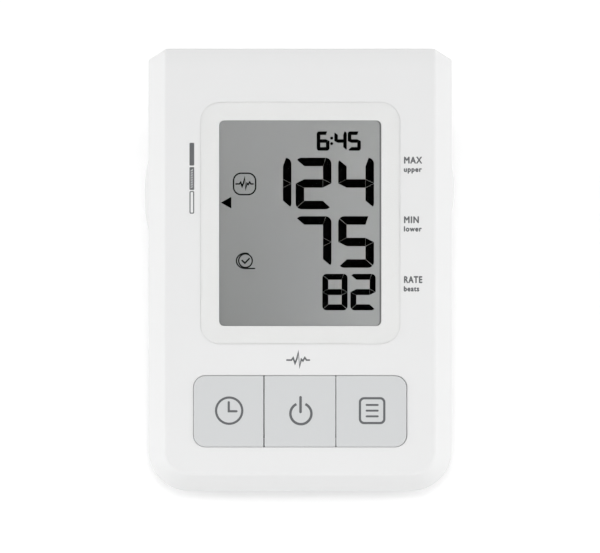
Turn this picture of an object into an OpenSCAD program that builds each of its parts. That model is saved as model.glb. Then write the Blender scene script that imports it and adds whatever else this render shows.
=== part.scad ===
// Upper arm blood pressure monitor: a wedge-shaped table unit with a tilted face,
// a large display window, three keys, a cuff air socket and a mains adapter socket.
// The part stands on its feet with +Z up and the user at -Y.
// The tilted face has a frame of its own: x across, u up the face, n out of the face.

/* [Housing] */
// Width of the housing without the side sockets
body_w = 95.7; // [93.7:0.5:106.7]
// Length of the face, front edge to back edge
face_len = 139.2; // [137.2:1:151.2]
// Height of the back edge above the table
body_h = 62.5; // [62:0.5:70]
// Tilt of the face from the table, in degrees
face_tilt = 18; // [17.5:0.5:20]
// Width of the bevel along the sides and the front
bevel_w = 5.25; // [4:0.25:6]
// Depth of that bevel
bevel_depth = 9; // [8:0.5:10]
// Radius of the front corners
front_corner_r = 13; // [10:0.5:15]
// Radius of the back corners
back_corner_r = 1; // [0.6:0.1:2.5]
// Rounding of the bevel's edges
edge_r = 1.5; // [0.8:0.1:2]
// Length of the rolled end at the top of the face
roll_len = 7.5; // [5:0.5:9]
// Angle that the rolled end turns back, in degrees
roll_angle = 25; // [15:1:30]
// Inward lean of the back wall, in degrees
back_lean = 1; // [0:0.5:4]
// Depth of the seam between the two covers, below the face
seam_depth = 12; // [11.5:0.25:12.75]
// Wall thickness of both covers
wall = 2.4; // [2:0.1:2.6]
// Thickness of the face wall
face_wall = 2.6; // [2.4:0.1:2.8]
// Thickness of the base
floor_t = 2.4; // [2.2:0.1:2.8]
// Rounding of the base edge
base_edge_r = 3; // [2:0.5:4]
// Height of the lip that locks the covers together
lip_h = 1.9; // [1.2:0.1:2.2]

/* [Feet and screws] */
// Height that the feet stand out of the base
foot_h = 1.5; // [1:0.25:2.5]
// Diameter of a foot
foot_d = 9; // [7:0.5:10]
// Depth of a foot's recess
foot_recess = 0.6; // [0.4:0.1:1]
// Diameter of the case screws
case_screw_d = 2.6; // [2.2:0.1:3]
// Length of the case screws below the head
case_screw_len = 11; // [9:0.5:12]
// Diameter of the board screws
board_screw_d = 2; // [1.8:0.1:2.4]
// Length of the board screws below the head
board_screw_len = 6; // [5:0.5:6.5]

/* [Display] */
// Width of the display lens
lens_w = 62.2; // [60.5:0.2:64]
// Length of the display lens
lens_len = 75.4; // [74:0.2:77]
// Corner radius of the lens
lens_r = 6.2; // [3:0.2:8]
// Thickness of the lens
lens_t = 1.5; // [1.2:0.1:1.6]
// Height that the lens stands out of the face
lens_proud = 0.2; // [0:0.05:0.4]
// Gap around the lens
lens_gap = 0.1; // [0.1:0.05:0.3]
// Thickness of the lens gasket
gasket_t = 0.2; // [0.1:0.05:0.3]
// Width of the ledge that carries the lens
ledge_w = 4; // [3:0.25:4.5]
// Width of the liquid crystal panel
lcd_w = 56.5; // [55.5:0.25:58]
// Length of the liquid crystal panel
lcd_len = 70; // [69:0.25:72]
// Thickness of the liquid crystal panel
lcd_t = 2.2; // [1.8:0.1:2.6]
// Wall of the panel's frame
lcd_frame_wall = 1.6; // [1.2:0.1:2]

/* [Keys] */
// Width of the key block
keys_w = 66.8; // [60:0.2:68]
// Length of the key block, along the face
keys_len = 22.4; // [18:0.2:23]
// Corner radius of the key block
keys_r = 3.8; // [2:0.2:5]
// Gap between two keys
key_gap = 0.3; // [0.2:0.05:0.8]
// Gap around the key block
key_edge_gap = 0.2; // [0.15:0.05:0.5]
// Height that the keys stand out of the face
key_proud = 0.6; // [0.4:0.1:1]
// Travel of a key
key_travel = 0.5; // [0.3:0.05:0.6]
// Edge bevel of a key
key_bevel = 0.5; // [0.3:0.05:0.8]
// Distance from the front edge to the key block
keys_front = 14.3; // [13.3:0.1:15.3]
// Distance from the key block to the lens
keys_to_lens = 9.9; // [9:0.1:12]

/* [Board] */
// Depth of the board's upper side below the face
board_depth = 8.2; // [8:0.1:8.5]
// Thickness of the board
board_t = 1.6; // [1.2:0.2:1.6]
// Height of a switch body
switch_h = 3.4; // [3:0.1:3.6]
// Width of a switch body
switch_w = 6.2; // [6:0.1:7]
// Diameter of a switch plunger
plunger_d = 3.4; // [3:0.1:3.6]
// Height that a plunger stands out of its switch
plunger_out = 0.9; // [0.8:0.05:1]

/* [Sockets] */
// Diameter of the cuff socket's boss
cuff_boss_d = 26; // [22:0.5:26.5]
// Height of the dome on the cuff socket's boss
cuff_dome_h = 1.7; // [0.6:0.1:2]
// Bore of the cuff socket
cuff_bore_d = 6.2; // [5:0.1:6.6]
// Depth of the cuff socket's bore
cuff_bore_len = 12; // [10:0.25:12]
// Diameter of the adapter socket's boss
dc_boss_d = 18; // [15:0.5:20]
// Height of the dome on the adapter socket's boss
dc_dome_h = 1.15; // [0.4:0.05:1.4]
// Bore of the adapter socket
dc_bore_d = 5.7; // [5.5:0.1:6]
// Diameter of the adapter socket's centre pin
dc_pin_d = 2; // [1.6:0.1:2.5]
// Height of the straight edge of both bosses
boss_edge_h = 0.3; // [0.2:0.1:1.2]
// Distance of the cuff socket up the face from its middle
cuff_u = 24; // [22:0.2:25]
// Distance of the adapter socket up the face from its middle
dc_u = 25.9; // [22.4:0.5:29.9]
// Depth of both sockets below the face
socket_depth = 26.5; // [26:0.25:28]

/* [Power] */
// Diameter of a battery cell
cell_d = 14.2; // [14:0.1:14.5]
// Length of a battery cell with its cap
cell_len = 50.5; // [49.5:0.1:50.5]
// Number of battery cells side by side
cell_count = 4; // [2:1:4]
// Clearance around the cells
cell_gap = 0.25; // [0.2:0.05:0.4]
// Length of a compressed battery spring
spring_len = 5; // [4.5:0.25:6]
// Thickness of the battery door
door_t = 2.1; // [1.8:0.1:2.2]
// Sliding clearance of the battery door
door_gap = 0.15; // [0.1:0.05:0.25]
// Thickness of the battery box walls
box_wall = 1.5; // [1.2:0.1:1.8]

/* [Air system] */
// Diameter of the pump motor
motor_d = 22; // [20:0.5:22.5]
// Length of the pump motor
motor_len = 28; // [24:0.5:32]
// Diameter of the pump head
head_d = 24; // [23:0.5:24.5]
// Length of the pump head
head_len = 20; // [18:0.5:24]
// Thickness of the rubber sleeve around the motor
sleeve_t = 1.2; // [0.8:0.1:1.3]
// Bore of the air hoses
hose_bore_d = 3.4; // [3:0.1:3.6]
// Wall of the air hoses
hose_wall = 1; // [0.8:0.1:1.2]
// Height of the exhaust valve
valve_h = 11; // [9:0.25:11.5]
// Stroke of the exhaust valve's plunger
valve_stroke = 0.8; // [0.4:0.1:1.2]

/* [Hidden] */

// Roundness of turned shapes, of corners inside hulls and of shallow domes
$fn = 64;
hull_fn = 32;
dome_fn = 720;
// Steps along a front corner, a back corner, the rolled end and a small fillet
corner_steps = 14;
back_steps = 3;
roll_steps = 8;
fillet_steps = 5;
// Overlap that joins two shapes of one piece, reach of a cut beyond a surface, and out of the housing
joint = 0.5;
beyond = 1;
far = 10;
// Clearances of seated pieces, of pieces beside a curved surface and of running fits
seat_gap = 0.1;
curved_gap = 0.2;
running_gap = 0.05;
// Smallest corner radius
least_r = 0.5;

// The face frame in the part's frame, with the box of the part centred on the origin
half_w = body_w / 2;
half_len = face_len / 2;
roll_start = half_len - roll_len;
roll_r = roll_len / sin(roll_angle);
roll_drop = roll_r * (1 - cos(roll_angle));
crest_angle = min(roll_angle, face_tilt);
crest_u = roll_start + roll_r * sin(crest_angle);
crest_n = -roll_r * (1 - cos(crest_angle));
face_z = body_h - crest_u * sin(face_tilt) - crest_n * cos(face_tilt);
front_reach = -half_len * cos(face_tilt) + bevel_depth * sin(face_tilt);
back_reach = half_len * cos(face_tilt) + roll_drop * sin(face_tilt);
face_y = -(front_reach + back_reach) / 2;
base_z = foot_h;
floor_z = base_z + floor_t;
bevel_angle = atan(bevel_depth / bevel_w);
lean = face_tilt + back_lean;

// Places on the face
face_front = -half_len;
keys_u = face_front + keys_front + keys_len / 2;
lens_u = keys_u + keys_len / 2 + keys_to_lens + lens_len / 2;
key_pitch = keys_w / 3;

// A key: the flange that stops it, its wall thicknesses and its post
key_flange = 1.2;
key_flange_t = 1;
key_top_t = 1.5;
key_side_t = 1.3;
key_post_d = 5;

// Depths below the face, as values of n
lcd_gap = 0.3;
recess_n = lens_proud - lens_t - gasket_t;
lcd_top_n = -face_wall - lcd_gap;
lcd_low_n = lcd_top_n - lcd_t;
lcd_front_n = recess_n + gasket_t - lcd_gap;
board_top_n = -board_depth;
board_low_n = board_top_n - board_t;
switch_top_n = board_top_n + switch_h;
plunger_top_n = switch_top_n + plunger_out;
flange_top_n = -face_wall - seat_gap;
flange_low_n = flange_top_n - key_flange_t;

// Board: its margins to the housing, the panel's frame and the keys, and the places of its screws
board_edge = 3;
board_side = 11.45;
board_screw_gap = 3.3;
board_front_inset = 2.5;
board_screw_x = lcd_w / 2 + lcd_frame_wall + board_screw_gap;
board_half_w = max(board_screw_x + board_edge, half_w - board_side);
board_front_u = keys_u - keys_len / 2 + board_front_inset;
board_back_u = lens_u + lcd_len / 2 + board_edge;
board_screw_below = 4;
board_screw_above = 18;
board_screw_rows = [lens_u - lens_len / 2 - board_screw_below, lens_u + board_screw_above];
board_screw_places = [for (side = [-1, 1]) for (u = board_screw_rows) [side * board_screw_x, u]];
board_post_d = 5;
board_head_d = board_screw_d + 1.8;
board_head_h = 1.2;

// Case screws along the face normal, from the base into posts of the front cover
case_post_d = 7;
case_well_d = 8;
case_head_d = case_screw_d + 2.4;
case_head_h = 1.6;
case_seat_depth = 5.5;
case_seat_n = -seam_depth - case_seat_depth;
case_screw_x = half_w - bevel_w - case_post_d / 2;
case_screw_front = 12;
case_screw_middle = 2;
case_screw_rows = [face_front + case_screw_front, case_screw_middle];
case_screw_places = [for (side = [-1, 1]) for (u = case_screw_rows) [side * case_screw_x, u]];

// Hooks of the front cover behind the back wall
hook_w = 10;
hook_t = 1.2;
hook_reach = 3;
hook_gap = 0.3;

// Battery box and its door, on the base at the back
door_top_z = base_z + door_t;
cell_pitch = cell_d + 2 * cell_gap;
pocket_half_w = cell_count * cell_pitch / 2 + cell_gap;
contact_t = 0.5;
pocket_back_wall = 2.8;
pocket_len = cell_len + spring_len + 2 * contact_t + 4 * cell_gap;
pocket_back_y = back_y(base_z) - pocket_back_wall;
pocket_front_y = pocket_back_y - pocket_len;
pocket_top_z = door_top_z + door_gap + cell_d + 2 * cell_gap;
roof_z = pocket_top_z + box_wall;
box_half_w = pocket_half_w + box_wall;
door_side_lap = 1.3;
door_front_lap = 1.6;
door_half_w = pocket_half_w + door_side_lap;
door_front_y = pocket_front_y - door_front_lap;
rail_depth = 1.4;
rail_t = 0.8;
rail_lift = 0.75;
rail_z = base_z + rail_lift;

// Cells and their contacts
cell_z = door_top_z + door_gap + cell_gap + cell_d / 2;
contact_front_y = pocket_front_y + contact_t;
contact_back_y = pocket_back_y - contact_t;
contact_mid_y = (contact_front_y + contact_back_y) / 2;
cell_room = contact_back_y - contact_front_y;

// Conical cell spring, from its wide end on the contact to its narrow end at the cell
spring_wire_d = 0.7;
spring_turns = 4;
spring_big_r = 4.9;
spring_small_r = 3.1;
rings_per_turn = 8;
spring_sides = 6;
spring_from = spring_wire_d / 2 + seat_gap;
spring_to = spring_len - spring_wire_d / 2 - seat_gap;
spring_points = [
    for (i = [0 : spring_turns * rings_per_turn]) spring_point(i / (spring_turns * rings_per_turn))
];
spring_least_gap = min([
    for (i = [0 : len(spring_points) - rings_per_turn])
        for (j = [i + rings_per_turn - 1 : len(spring_points) - 1])
            norm(spring_points[i] - spring_points[j])
]) - spring_wire_d;

// Air cross beside the pump, and the nipples and hoses that meet there
nipple_d = hose_bore_d - 2 * seat_gap;
hose_d = hose_bore_d + 2 * hose_wall;
air_bore_d = 1.6;
cross_size = 6;
cross_arm = 6.5;
arm_gap = 1;
cross_side = 8.5;
cross_x = -max(half_w - wall - cross_side, box_half_w + hose_d / 2 + curved_gap);

// Pump over the battery box, against the back wall
pump_lift = 0.6;
pump_back_gap = 1.5;
cross_to_pump = 10.4;
pump_z = roof_z + head_d / 2 + pump_lift;
pump_y = back_y(pump_z) - wall - head_d / 2 - pump_back_gap;
pump_left = cross_x + cross_to_pump;
motor_left = pump_left + head_len;
motor_right = motor_left + motor_len;
sleeve_inset = 3;
sleeve_left = motor_left + sleeve_inset;
sleeve_right = motor_right - sleeve_inset - beyond;
sleeve_r = motor_d / 2 + curved_gap + sleeve_t;
shaft_d = 2;
crank_d = 9;
crank_shift = 0.8;
crank_t = 4;
crank_gap = 2;
chamber_d = 15;
chamber_len = 8;
chamber_left = motor_left - chamber_len;
shaft_hole_end = motor_left + motor_len / 2;
cross_lift = 0.5;
cross_y = pump_y + cross_lift;

// Side sockets
cuff_centre = face_point(0, cuff_u, -socket_depth);
dc_centre = face_point(0, dc_u, -socket_depth);
cross_z = cuff_centre.z;
mouth_sink = 0.2;
mouth_rim = 1.4;
cuff_barrel_wall = 1.9;
cuff_barrel_d = cuff_bore_d + 2 * cuff_barrel_wall;
cuff_mouth = half_w + boss_edge_h + cuff_dome_h - mouth_sink;
cuff_bore_end = cuff_mouth - cuff_bore_len;
cuff_barrel_past = 2.4;
cuff_barrel_end = -cross_x - cuff_barrel_past;
dc_barrel_wall = 1.75;
dc_barrel_d = dc_bore_d + 2 * dc_barrel_wall;
dc_mouth = half_w + boss_edge_h + dc_dome_h - mouth_sink;
dc_bore_len = 9.5;
dc_bore_end = dc_mouth - dc_bore_len;
dc_end_wall = 3;
dc_barrel_end = dc_bore_end - dc_end_wall;
nut_t = 3.5;
nut_w = 3;
seal_t = 1;

// Pressure sensor on the board, and the curved hose between it and the cross
sensor_size = 8;
sensor_h = 4.5;
sensor_nipple = 3;
sensor_side = 0.2;
sensor_back = 4.5;
sensor_x = -(board_half_w - sensor_size / 2 - sensor_side);
sensor_u = board_back_u - sensor_size / 2 - sensor_back;
sensor_port = face_point(sensor_x, sensor_u, board_low_n - sensor_h - seat_gap);
cross_port = [cross_x, cross_y, cross_z + cross_size / 2 + seat_gap];
sensor_down = [0, sin(face_tilt), -cos(face_tilt)];
sensor_end = sensor_port + sensor_nipple * sensor_down;
cross_end = cross_port + [0, 0, cross_arm - cross_size / 2];
sensor_pull_share = 0.42;
sensor_pull = norm(sensor_end - cross_end) * sensor_pull_share;
sensor_hose_steps = 12;
hose_sides = 10;

// Exhaust valve on the base below the cross
valve_len = 18;
valve_side = 1.2;
valve_box_gap = 0.85;
valve_w = half_w - wall - valve_side - box_half_w - valve_box_gap;
valve_x = -(half_w - wall - valve_w / 2 - valve_side);
valve_top_z = floor_z + valve_h;
plunger_bore_d = 5;
valve_plunger_len = 10;
valve_plunger_out = 1.5;

// Feet under the base
front_foot_x = 24;
back_foot_x = half_w - base_edge_r - foot_d / 2 - 0.3;
front_foot_y = front_y(base_z) + base_edge_r + foot_d / 2 + 1.5;
back_foot_y = back_y(base_z) - base_edge_r - foot_d / 2 - 2.5;
foot_places = [
    for (side = [-1, 1]) each [[side * front_foot_x, front_foot_y], [side * back_foot_x, back_foot_y]]
];

// A point of the face frame, in the part's frame
function face_point(x, u, n) = [
    x,
    u * cos(face_tilt) - n * sin(face_tilt) + face_y,
    u * sin(face_tilt) + n * cos(face_tilt) + face_z
];

// How far the rolled end has dropped at u
function roll_at(u) =
    u <= roll_start ? 0 : roll_r - sqrt(max(0, roll_r * roll_r - pow(u - roll_start, 2)));

// Back wall: its place on a level n of the face frame, and at a height z
function back_u(n) = half_len + (n + roll_drop) * tan(lean);
function back_y(z) =
    let (top = face_point(0, half_len, -roll_drop)) top.y - (top.z - z) * tan(back_lean);
function rolled_back_u(n, tries = 6) =
    tries == 0 ? half_len : back_u(n - roll_at(rolled_back_u(n, tries - 1)));

// Front wall below the bevel, which runs along the face normal, at a height z
function front_y(z) =
    let (edge = face_point(0, face_front, -seam_depth)) edge.y + (edge.z - z) * tan(face_tilt);

// Height of the base below the face, along the normal at u
function base_n(u) = (base_z - face_z - u * sin(face_tilt)) / cos(face_tilt);

// Arc of a circle, as points
function arc(centre, r, from, to, steps) =
    [for (i = [0 : steps]) let (a = from + (to - from) * i / steps) centre + r * [cos(a), sin(a)]];

// Rounding of a corner between two edges that leave it along the unit vectors a and b
function rounding(corner, a, b, r, steps) =
    let (
        half = acos(a * b) / 2,
        middle = (a + b) / norm(a + b),
        centre = corner + middle * r / sin(half),
        from = corner + a * r / tan(half) - centre,
        to = corner + b * r / tan(half) - centre
    )
    [for (i = [0 : steps]) let (v = from + (to - from) * i / steps) centre + v * r / norm(v)];

// Outline of the housing seen square to its face: round at the front, tight at the back
function outline(half, front, back, front_r, back_r) =
    let (
        side = min(roll_start, back - back_r - beyond),
        right = concat(
            arc([half - front_r, front + front_r], front_r, -90, 0, corner_steps),
            [for (i = [0 : roll_steps - 1]) [half, side + (back - back_r - side) * i / roll_steps]],
            arc([half - back_r, back - back_r], back_r, 0, 90, back_steps)
        )
    )
    concat(right, [for (i = [len(right) - 1 : -1 : 0]) [-right[i].x, right[i].y]]);

function seam_outline(inset) = outline(
    half_w - inset, face_front + inset, back_u(-seam_depth) - inset / cos(lean),
    max(least_r, front_corner_r - inset), max(least_r, back_corner_r - inset)
);

// Ring of a cover on a level n; a rolled ring follows the rolled end of the face
function rolled_ring(inset, n) = [
    for (p = outline(half_w - inset, face_front + inset, rolled_back_u(n),
                     front_corner_r - inset, back_corner_r))
        face_point(p.x, p.y, n - roll_at(p.y))
];
function flat_ring(inset, n, back_inset) = [
    for (p = outline(half_w - inset, face_front + inset, back_u(n) - back_inset / cos(lean),
                     max(least_r, front_corner_r - inset), max(least_r, back_corner_r - back_inset)))
        face_point(p.x, p.y, n)
];

// Ring of the rear cover on a height z
function level_ring(inset, z) = [
    for (p = outline(half_w - inset, front_y(z) + inset, back_y(z) - inset,
                     max(least_r, front_corner_r - inset), max(least_r, back_corner_r - inset)))
        [p.x, p.y, z]
];

// Solid through a stack of rings, from the upper one down
module loft(rings) {
    size = len(rings[0]);
    half = size / 2;
    last = (len(rings) - 1) * size;
    sides = [
        for (j = [0 : len(rings) - 2]) for (i = [0 : size - 1])
            let (a = j * size + i, b = j * size + (i + 1) % size)
                each [[a, b, b + size], [a, b + size, a + size]]
    ];
    top = [for (i = [0 : half - 2]) each [[i, size - 1 - i, size - 2 - i], [i, size - 2 - i, i + 1]]];
    low = [
        for (i = [0 : half - 2])
            each [[last + i, last + i + 1, last + size - 2 - i],
                  [last + i, last + size - 2 - i, last + size - 1 - i]]
    ];
    polyhedron([for (r = rings) each r], concat(sides, top, low));
}

// Rings of points around a route; up is a direction that the route never follows
function route_rings(points, r, up, sides) =
    let (count = len(points))
    [
        for (i = [0 : count - 1])
            let (
                along = points[min(count - 1, i + 1)] - points[max(0, i - 1)],
                right = cross(along, up) / norm(cross(along, up)),
                away = cross(along, right) / norm(cross(along, right))
            )
            for (k = [0 : sides - 1])
                points[i] + r * (right * cos(360 * k / sides) + away * sin(360 * k / sides))
    ];

// Wall faces between such rings, counted from the point named first
function route_walls(count, sides, first) = [
    for (i = [0 : count - 2]) for (k = [0 : sides - 1])
        let (a = first + i * sides + k, b = first + i * sides + (k + 1) % sides)
            each [[a, a + sides, b + sides], [a, b + sides, b]]
];
function turned(faces) = [for (f = faces) [f[0], f[2], f[1]]];

// Round wire along a route
module wire(points, r, up, sides) {
    end = (len(points) - 1) * sides;
    caps = [for (k = [1 : sides - 2]) each [[0, k, k + 1], [end, end + k + 1, end + k]]];
    polyhedron(route_rings(points, r, up, sides), concat(route_walls(len(points), sides, 0), caps));
}

// Hose along a route, with its bore
module hose(points, r, bore_r, up, sides) {
    inner = len(points) * sides;
    end = inner - sides;
    first = [
        for (k = [0 : sides - 1]) let (next = (k + 1) % sides)
            each [[k, next, inner + next], [k, inner + next, inner + k]]
    ];
    last = [for (f = turned(first)) [for (i = f) i + end]];
    polyhedron(
        concat(route_rings(points, r, up, sides), route_rings(points, bore_r, up, sides)),
        concat(route_walls(len(points), sides, 0), turned(route_walls(len(points), sides, inner)),
               first, last)
    );
}

// Rectangle with true round corners, centred
module round_rect(w, h, r) {
    square([w - 2 * r, h], center = true);
    square([w, h - 2 * r], center = true);
    for (x = [-1, 1]) for (y = [-1, 1])
        translate([x * (w / 2 - r), y * (h / 2 - r)]) circle(r);
}

// Places children in the face frame
module on_face() {
    translate([0, face_y, face_z]) rotate([face_tilt, 0, 0]) children();
}

// Slab of a flat shape between two levels
module slab(low, high) {
    translate([0, 0, low]) linear_extrude(high - low) children();
}

// Cylinder along an axis between two places on it
module rod_x(from, to, d) {
    translate([min(from, to), 0, 0]) rotate([0, 90, 0]) cylinder(d = d, h = abs(to - from));
}
module rod_y(from, to, d) {
    translate([0, min(from, to), 0]) rotate([-90, 0, 0]) cylinder(d = d, h = abs(to - from));
}
module rod_z(from, to, d) {
    translate([0, 0, min(from, to)]) cylinder(d = d, h = abs(to - from));
}

// Screw with a round head below and its shank upwards
module screw(d, len, head_d, head_h) {
    slot_len = head_d * 0.6;
    slot_w = head_d * 0.16;
    cylinder(d = d, h = len);
    difference() {
        translate([0, 0, -head_h]) cylinder(d = head_d, h = head_h);
        for (turn = [0, 90]) rotate(turn)
            translate([0, 0, -head_h]) cube([slot_len, slot_w, head_h], center = true);
    }
}

// Front cover
function bevel_profile() =
    let (along = [-cos(bevel_angle), -sin(bevel_angle)])
    concat(
        rounding([bevel_w, 0], [1, 0], along, edge_r, fillet_steps),
        rounding([0, -bevel_depth], -along, [0, -1], edge_r, fillet_steps)
    );

module front_shell() {
    slant = wall / sin(bevel_angle);
    inner_top = bevel_w * (1 - face_wall / bevel_depth) + slant;
    inner_bend = -bevel_depth * (1 + (slant - wall) / bevel_w);
    difference() {
        loft(concat(
            [for (p = bevel_profile()) rolled_ring(p.x, p.y)],
            [flat_ring(0, -seam_depth, 0)]
        ));
        loft([
            flat_ring(inner_top, -face_wall, wall),
            flat_ring(wall, inner_bend, wall),
            flat_ring(wall, -seam_depth - beyond, wall)
        ]);
    }
}

module front_cover() {
    hook_u = back_u(-seam_depth - hook_reach) - (wall + seat_gap) / cos(lean) - hook_t / 2 - hook_gap;
    color([0.93, 0.93, 0.93])
    difference() {
        union() {
            front_shell();
            on_face() {
                for (p = case_screw_places)
                    translate(p) rod_z(-seam_depth, -face_wall + joint, case_post_d);
                for (p = board_screw_places)
                    translate(p) rod_z(board_top_n, -face_wall + joint, board_post_d);
                for (side = [-1, 1])
                    translate([side * half_w / 2, hook_u])
                        slab(-seam_depth - hook_reach, -face_wall + joint)
                            square([hook_w, hook_t], center = true);
            }
        }
        on_face() {
            translate([0, lens_u]) {
                slab(recess_n, beyond)
                    round_rect(lens_w + 2 * lens_gap, lens_len + 2 * lens_gap, lens_r + lens_gap);
                slab(-face_wall - beyond, beyond)
                    round_rect(lens_w - 2 * ledge_w, lens_len - 2 * ledge_w, max(least_r, lens_r - ledge_w));
            }
            translate([0, keys_u]) slab(-face_wall - beyond, beyond) round_rect(keys_w, keys_len, keys_r);
            slab(-seam_depth - beyond, -seam_depth + lip_h + seat_gap) difference() {
                polygon(seam_outline(wall / 2));
                polygon(seam_outline(wall + joint));
            }
            for (p = case_screw_places)
                translate(p) rod_z(-seam_depth - beyond, case_seat_n + case_screw_len + joint,
                                   case_screw_d + 2 * running_gap);
            for (p = board_screw_places)
                translate(p) rod_z(board_top_n - beyond, board_low_n + board_screw_len + joint,
                                   board_screw_d + 2 * running_gap);
        }
    }
}

// Rear cover
module rear_body() {
    loft(concat(
        [flat_ring(0, -seam_depth, 0)],
        [for (i = [0 : fillet_steps]) let (a = 90 * i / fillet_steps)
            level_ring(base_edge_r * (1 - cos(a)), base_z + base_edge_r * (1 - sin(a)))]
    ));
}

module rear_cavity() {
    loft([flat_ring(wall, -seam_depth + beyond, wall), level_ring(wall, floor_z)]);
}

// Space that the door and its rails slide in, open to the back
module door_space(gap) {
    reach = back_y(base_z) + far - door_front_y;
    translate([-door_half_w - gap, door_front_y - gap, base_z - beyond])
        cube([2 * (door_half_w + gap), reach, door_t + beyond + gap]);
    translate([-door_half_w - rail_depth - gap, door_front_y - gap, rail_z - gap])
        cube([2 * (door_half_w + rail_depth + gap), reach, rail_t + 2 * gap]);
    translate([-door_half_w / 2 - gap, door_front_y - rail_depth - gap, rail_z - gap])
        cube([door_half_w + 2 * gap, rail_depth + joint, rail_t + 2 * gap]);
}

module pump_cradle() {
    rib_t = 2.4;
    rib_inset = 2;
    rib_below = 2;
    rib_side = sleeve_r + 2.6;
    for (x = [sleeve_left + rib_inset, sleeve_right - rib_inset - rib_t])
        translate([x, pump_y - rib_side, roof_z - joint])
            cube([rib_t, rib_side + sleeve_r, pump_z - rib_below - roof_z + joint]);
}

module rear_cover() {
    color([0.93, 0.93, 0.93])
    difference() {
        union() {
            difference() {
                rear_body();
                rear_cavity();
            }
            intersection() {
                rear_body();
                translate([-box_half_w, pocket_front_y - box_wall, base_z])
                    cube([2 * box_half_w, pocket_len + box_wall + wall, roof_z - base_z]);
            }
            intersection() {
                rear_body();
                on_face() for (p = case_screw_places)
                    translate(p) rod_z(base_n(p.y) - far, -seam_depth, case_well_d);
            }
            pump_cradle();
            on_face() slab(-seam_depth - joint, -seam_depth + lip_h) difference() {
                polygon(seam_outline(wall / 2 + seat_gap));
                polygon(seam_outline(wall));
            }
        }
        translate([-pocket_half_w, pocket_front_y, base_z - beyond])
            cube([2 * pocket_half_w, pocket_len, pocket_top_z - base_z + beyond]);
        door_space(door_gap);
        translate([0, pump_y, pump_z])
            rod_x(sleeve_left, sleeve_right, 2 * (sleeve_r + curved_gap));
        on_face() for (p = case_screw_places) translate(p) {
            rod_z(base_n(p.y) - far, -seam_depth + beyond, case_screw_d + 4 * running_gap);
            rod_z(base_n(p.y) - far, case_seat_n, case_head_d + 2 * curved_gap);
        }
        translate([0, cuff_centre.y, cuff_centre.z])
            rod_x(-half_w - beyond, -half_w + wall + beyond, cuff_barrel_d + 2 * seat_gap);
        translate([0, dc_centre.y, dc_centre.z])
            rod_x(half_w - wall - beyond, half_w + beyond, dc_barrel_d + 2 * seat_gap);
        for (p = foot_places)
            translate(p) rod_z(base_z - beyond, base_z + foot_recess, foot_d + 2 * seat_gap);
    }
}

// Display lens, its gasket, the panel behind it and the panel's frame
module display_lens() {
    chamfer = 0.4;
    color([0.9, 0.92, 0.92, 0.6])
    on_face() translate([0, lens_u]) hull() {
        slab(lens_proud - lens_t, lens_proud - chamfer)
            round_rect(lens_w, lens_len, lens_r, $fn = hull_fn);
        slab(lens_proud - lens_t, lens_proud)
            round_rect(lens_w - 2 * chamfer, lens_len - 2 * chamfer, lens_r - chamfer, $fn = hull_fn);
    }
}

module lens_gasket() {
    gasket_w = ledge_w - 1;
    color([0.2, 0.2, 0.2])
    on_face() translate([0, lens_u]) slab(recess_n, recess_n + gasket_t) difference() {
        round_rect(lens_w, lens_len, lens_r);
        round_rect(lens_w - 2 * gasket_w, lens_len - 2 * gasket_w, max(least_r, lens_r - gasket_w));
    }
}

module lcd_panel() {
    glass_share = 0.5;
    terminal = 2.5;
    front_fit = 0.4;
    front_inset = ledge_w + front_fit;
    front_w = min(lcd_w, lens_w - 2 * front_inset);
    front_len = min(lcd_len - terminal, lens_len - 2 * front_inset);
    color([0.58, 0.6, 0.58])
    on_face() translate([0, lens_u]) {
        slab(lcd_low_n, lcd_top_n - lcd_t * glass_share) square([lcd_w, lcd_len], center = true);
        slab(lcd_top_n - lcd_t * glass_share, lcd_top_n)
            translate([0, terminal / 2]) square([lcd_w, lcd_len - terminal], center = true);
        slab(lcd_top_n - joint, lcd_front_n)
            round_rect(front_w, front_len, max(least_r, lens_r - front_inset));
    }
}

module lcd_frame() {
    fit = 0.15;
    shelf = 3;
    strip_room = 2.4;
    outer = [lcd_w + 2 * (fit + lcd_frame_wall), lcd_len + 2 * (fit + lcd_frame_wall)];
    color([0.85, 0.85, 0.82])
    on_face() translate([0, lens_u]) difference() {
        slab(board_top_n, -face_wall - seat_gap) square(outer, center = true);
        slab(lcd_low_n, beyond) square([lcd_w + 2 * fit, lcd_len + 2 * fit], center = true);
        slab(board_top_n - beyond, beyond)
            square([lcd_w - 2 * shelf, lcd_len - 2 * shelf], center = true);
        translate([0, -lcd_len / 2 + shelf])
            slab(board_top_n - beyond, beyond) square([lcd_w - 2 * shelf, strip_room], center = true);
    }
}

module lcd_connectors() {
    strip_t = 1.8;
    strip_len = lcd_w - 8;
    strip_inset = 3.1;
    color([0.95, 0.55, 0.6])
    on_face() translate([0, lens_u - lcd_len / 2 + strip_inset])
        slab(board_top_n, lcd_low_n) square([strip_len, strip_t], center = true);
}

// Board and what is soldered to it
module main_board() {
    post_gap = 0.4;
    hole_gap = 0.2;
    color([0.1, 0.4, 0.2])
    on_face() slab(board_low_n, board_top_n) difference() {
        translate([-board_half_w, board_front_u])
            square([2 * board_half_w, board_back_u - board_front_u]);
        for (p = case_screw_places) translate(p) circle(d = case_post_d + 2 * post_gap);
        for (p = board_screw_places) translate(p) circle(d = board_screw_d + 2 * hole_gap);
    }
}

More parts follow.
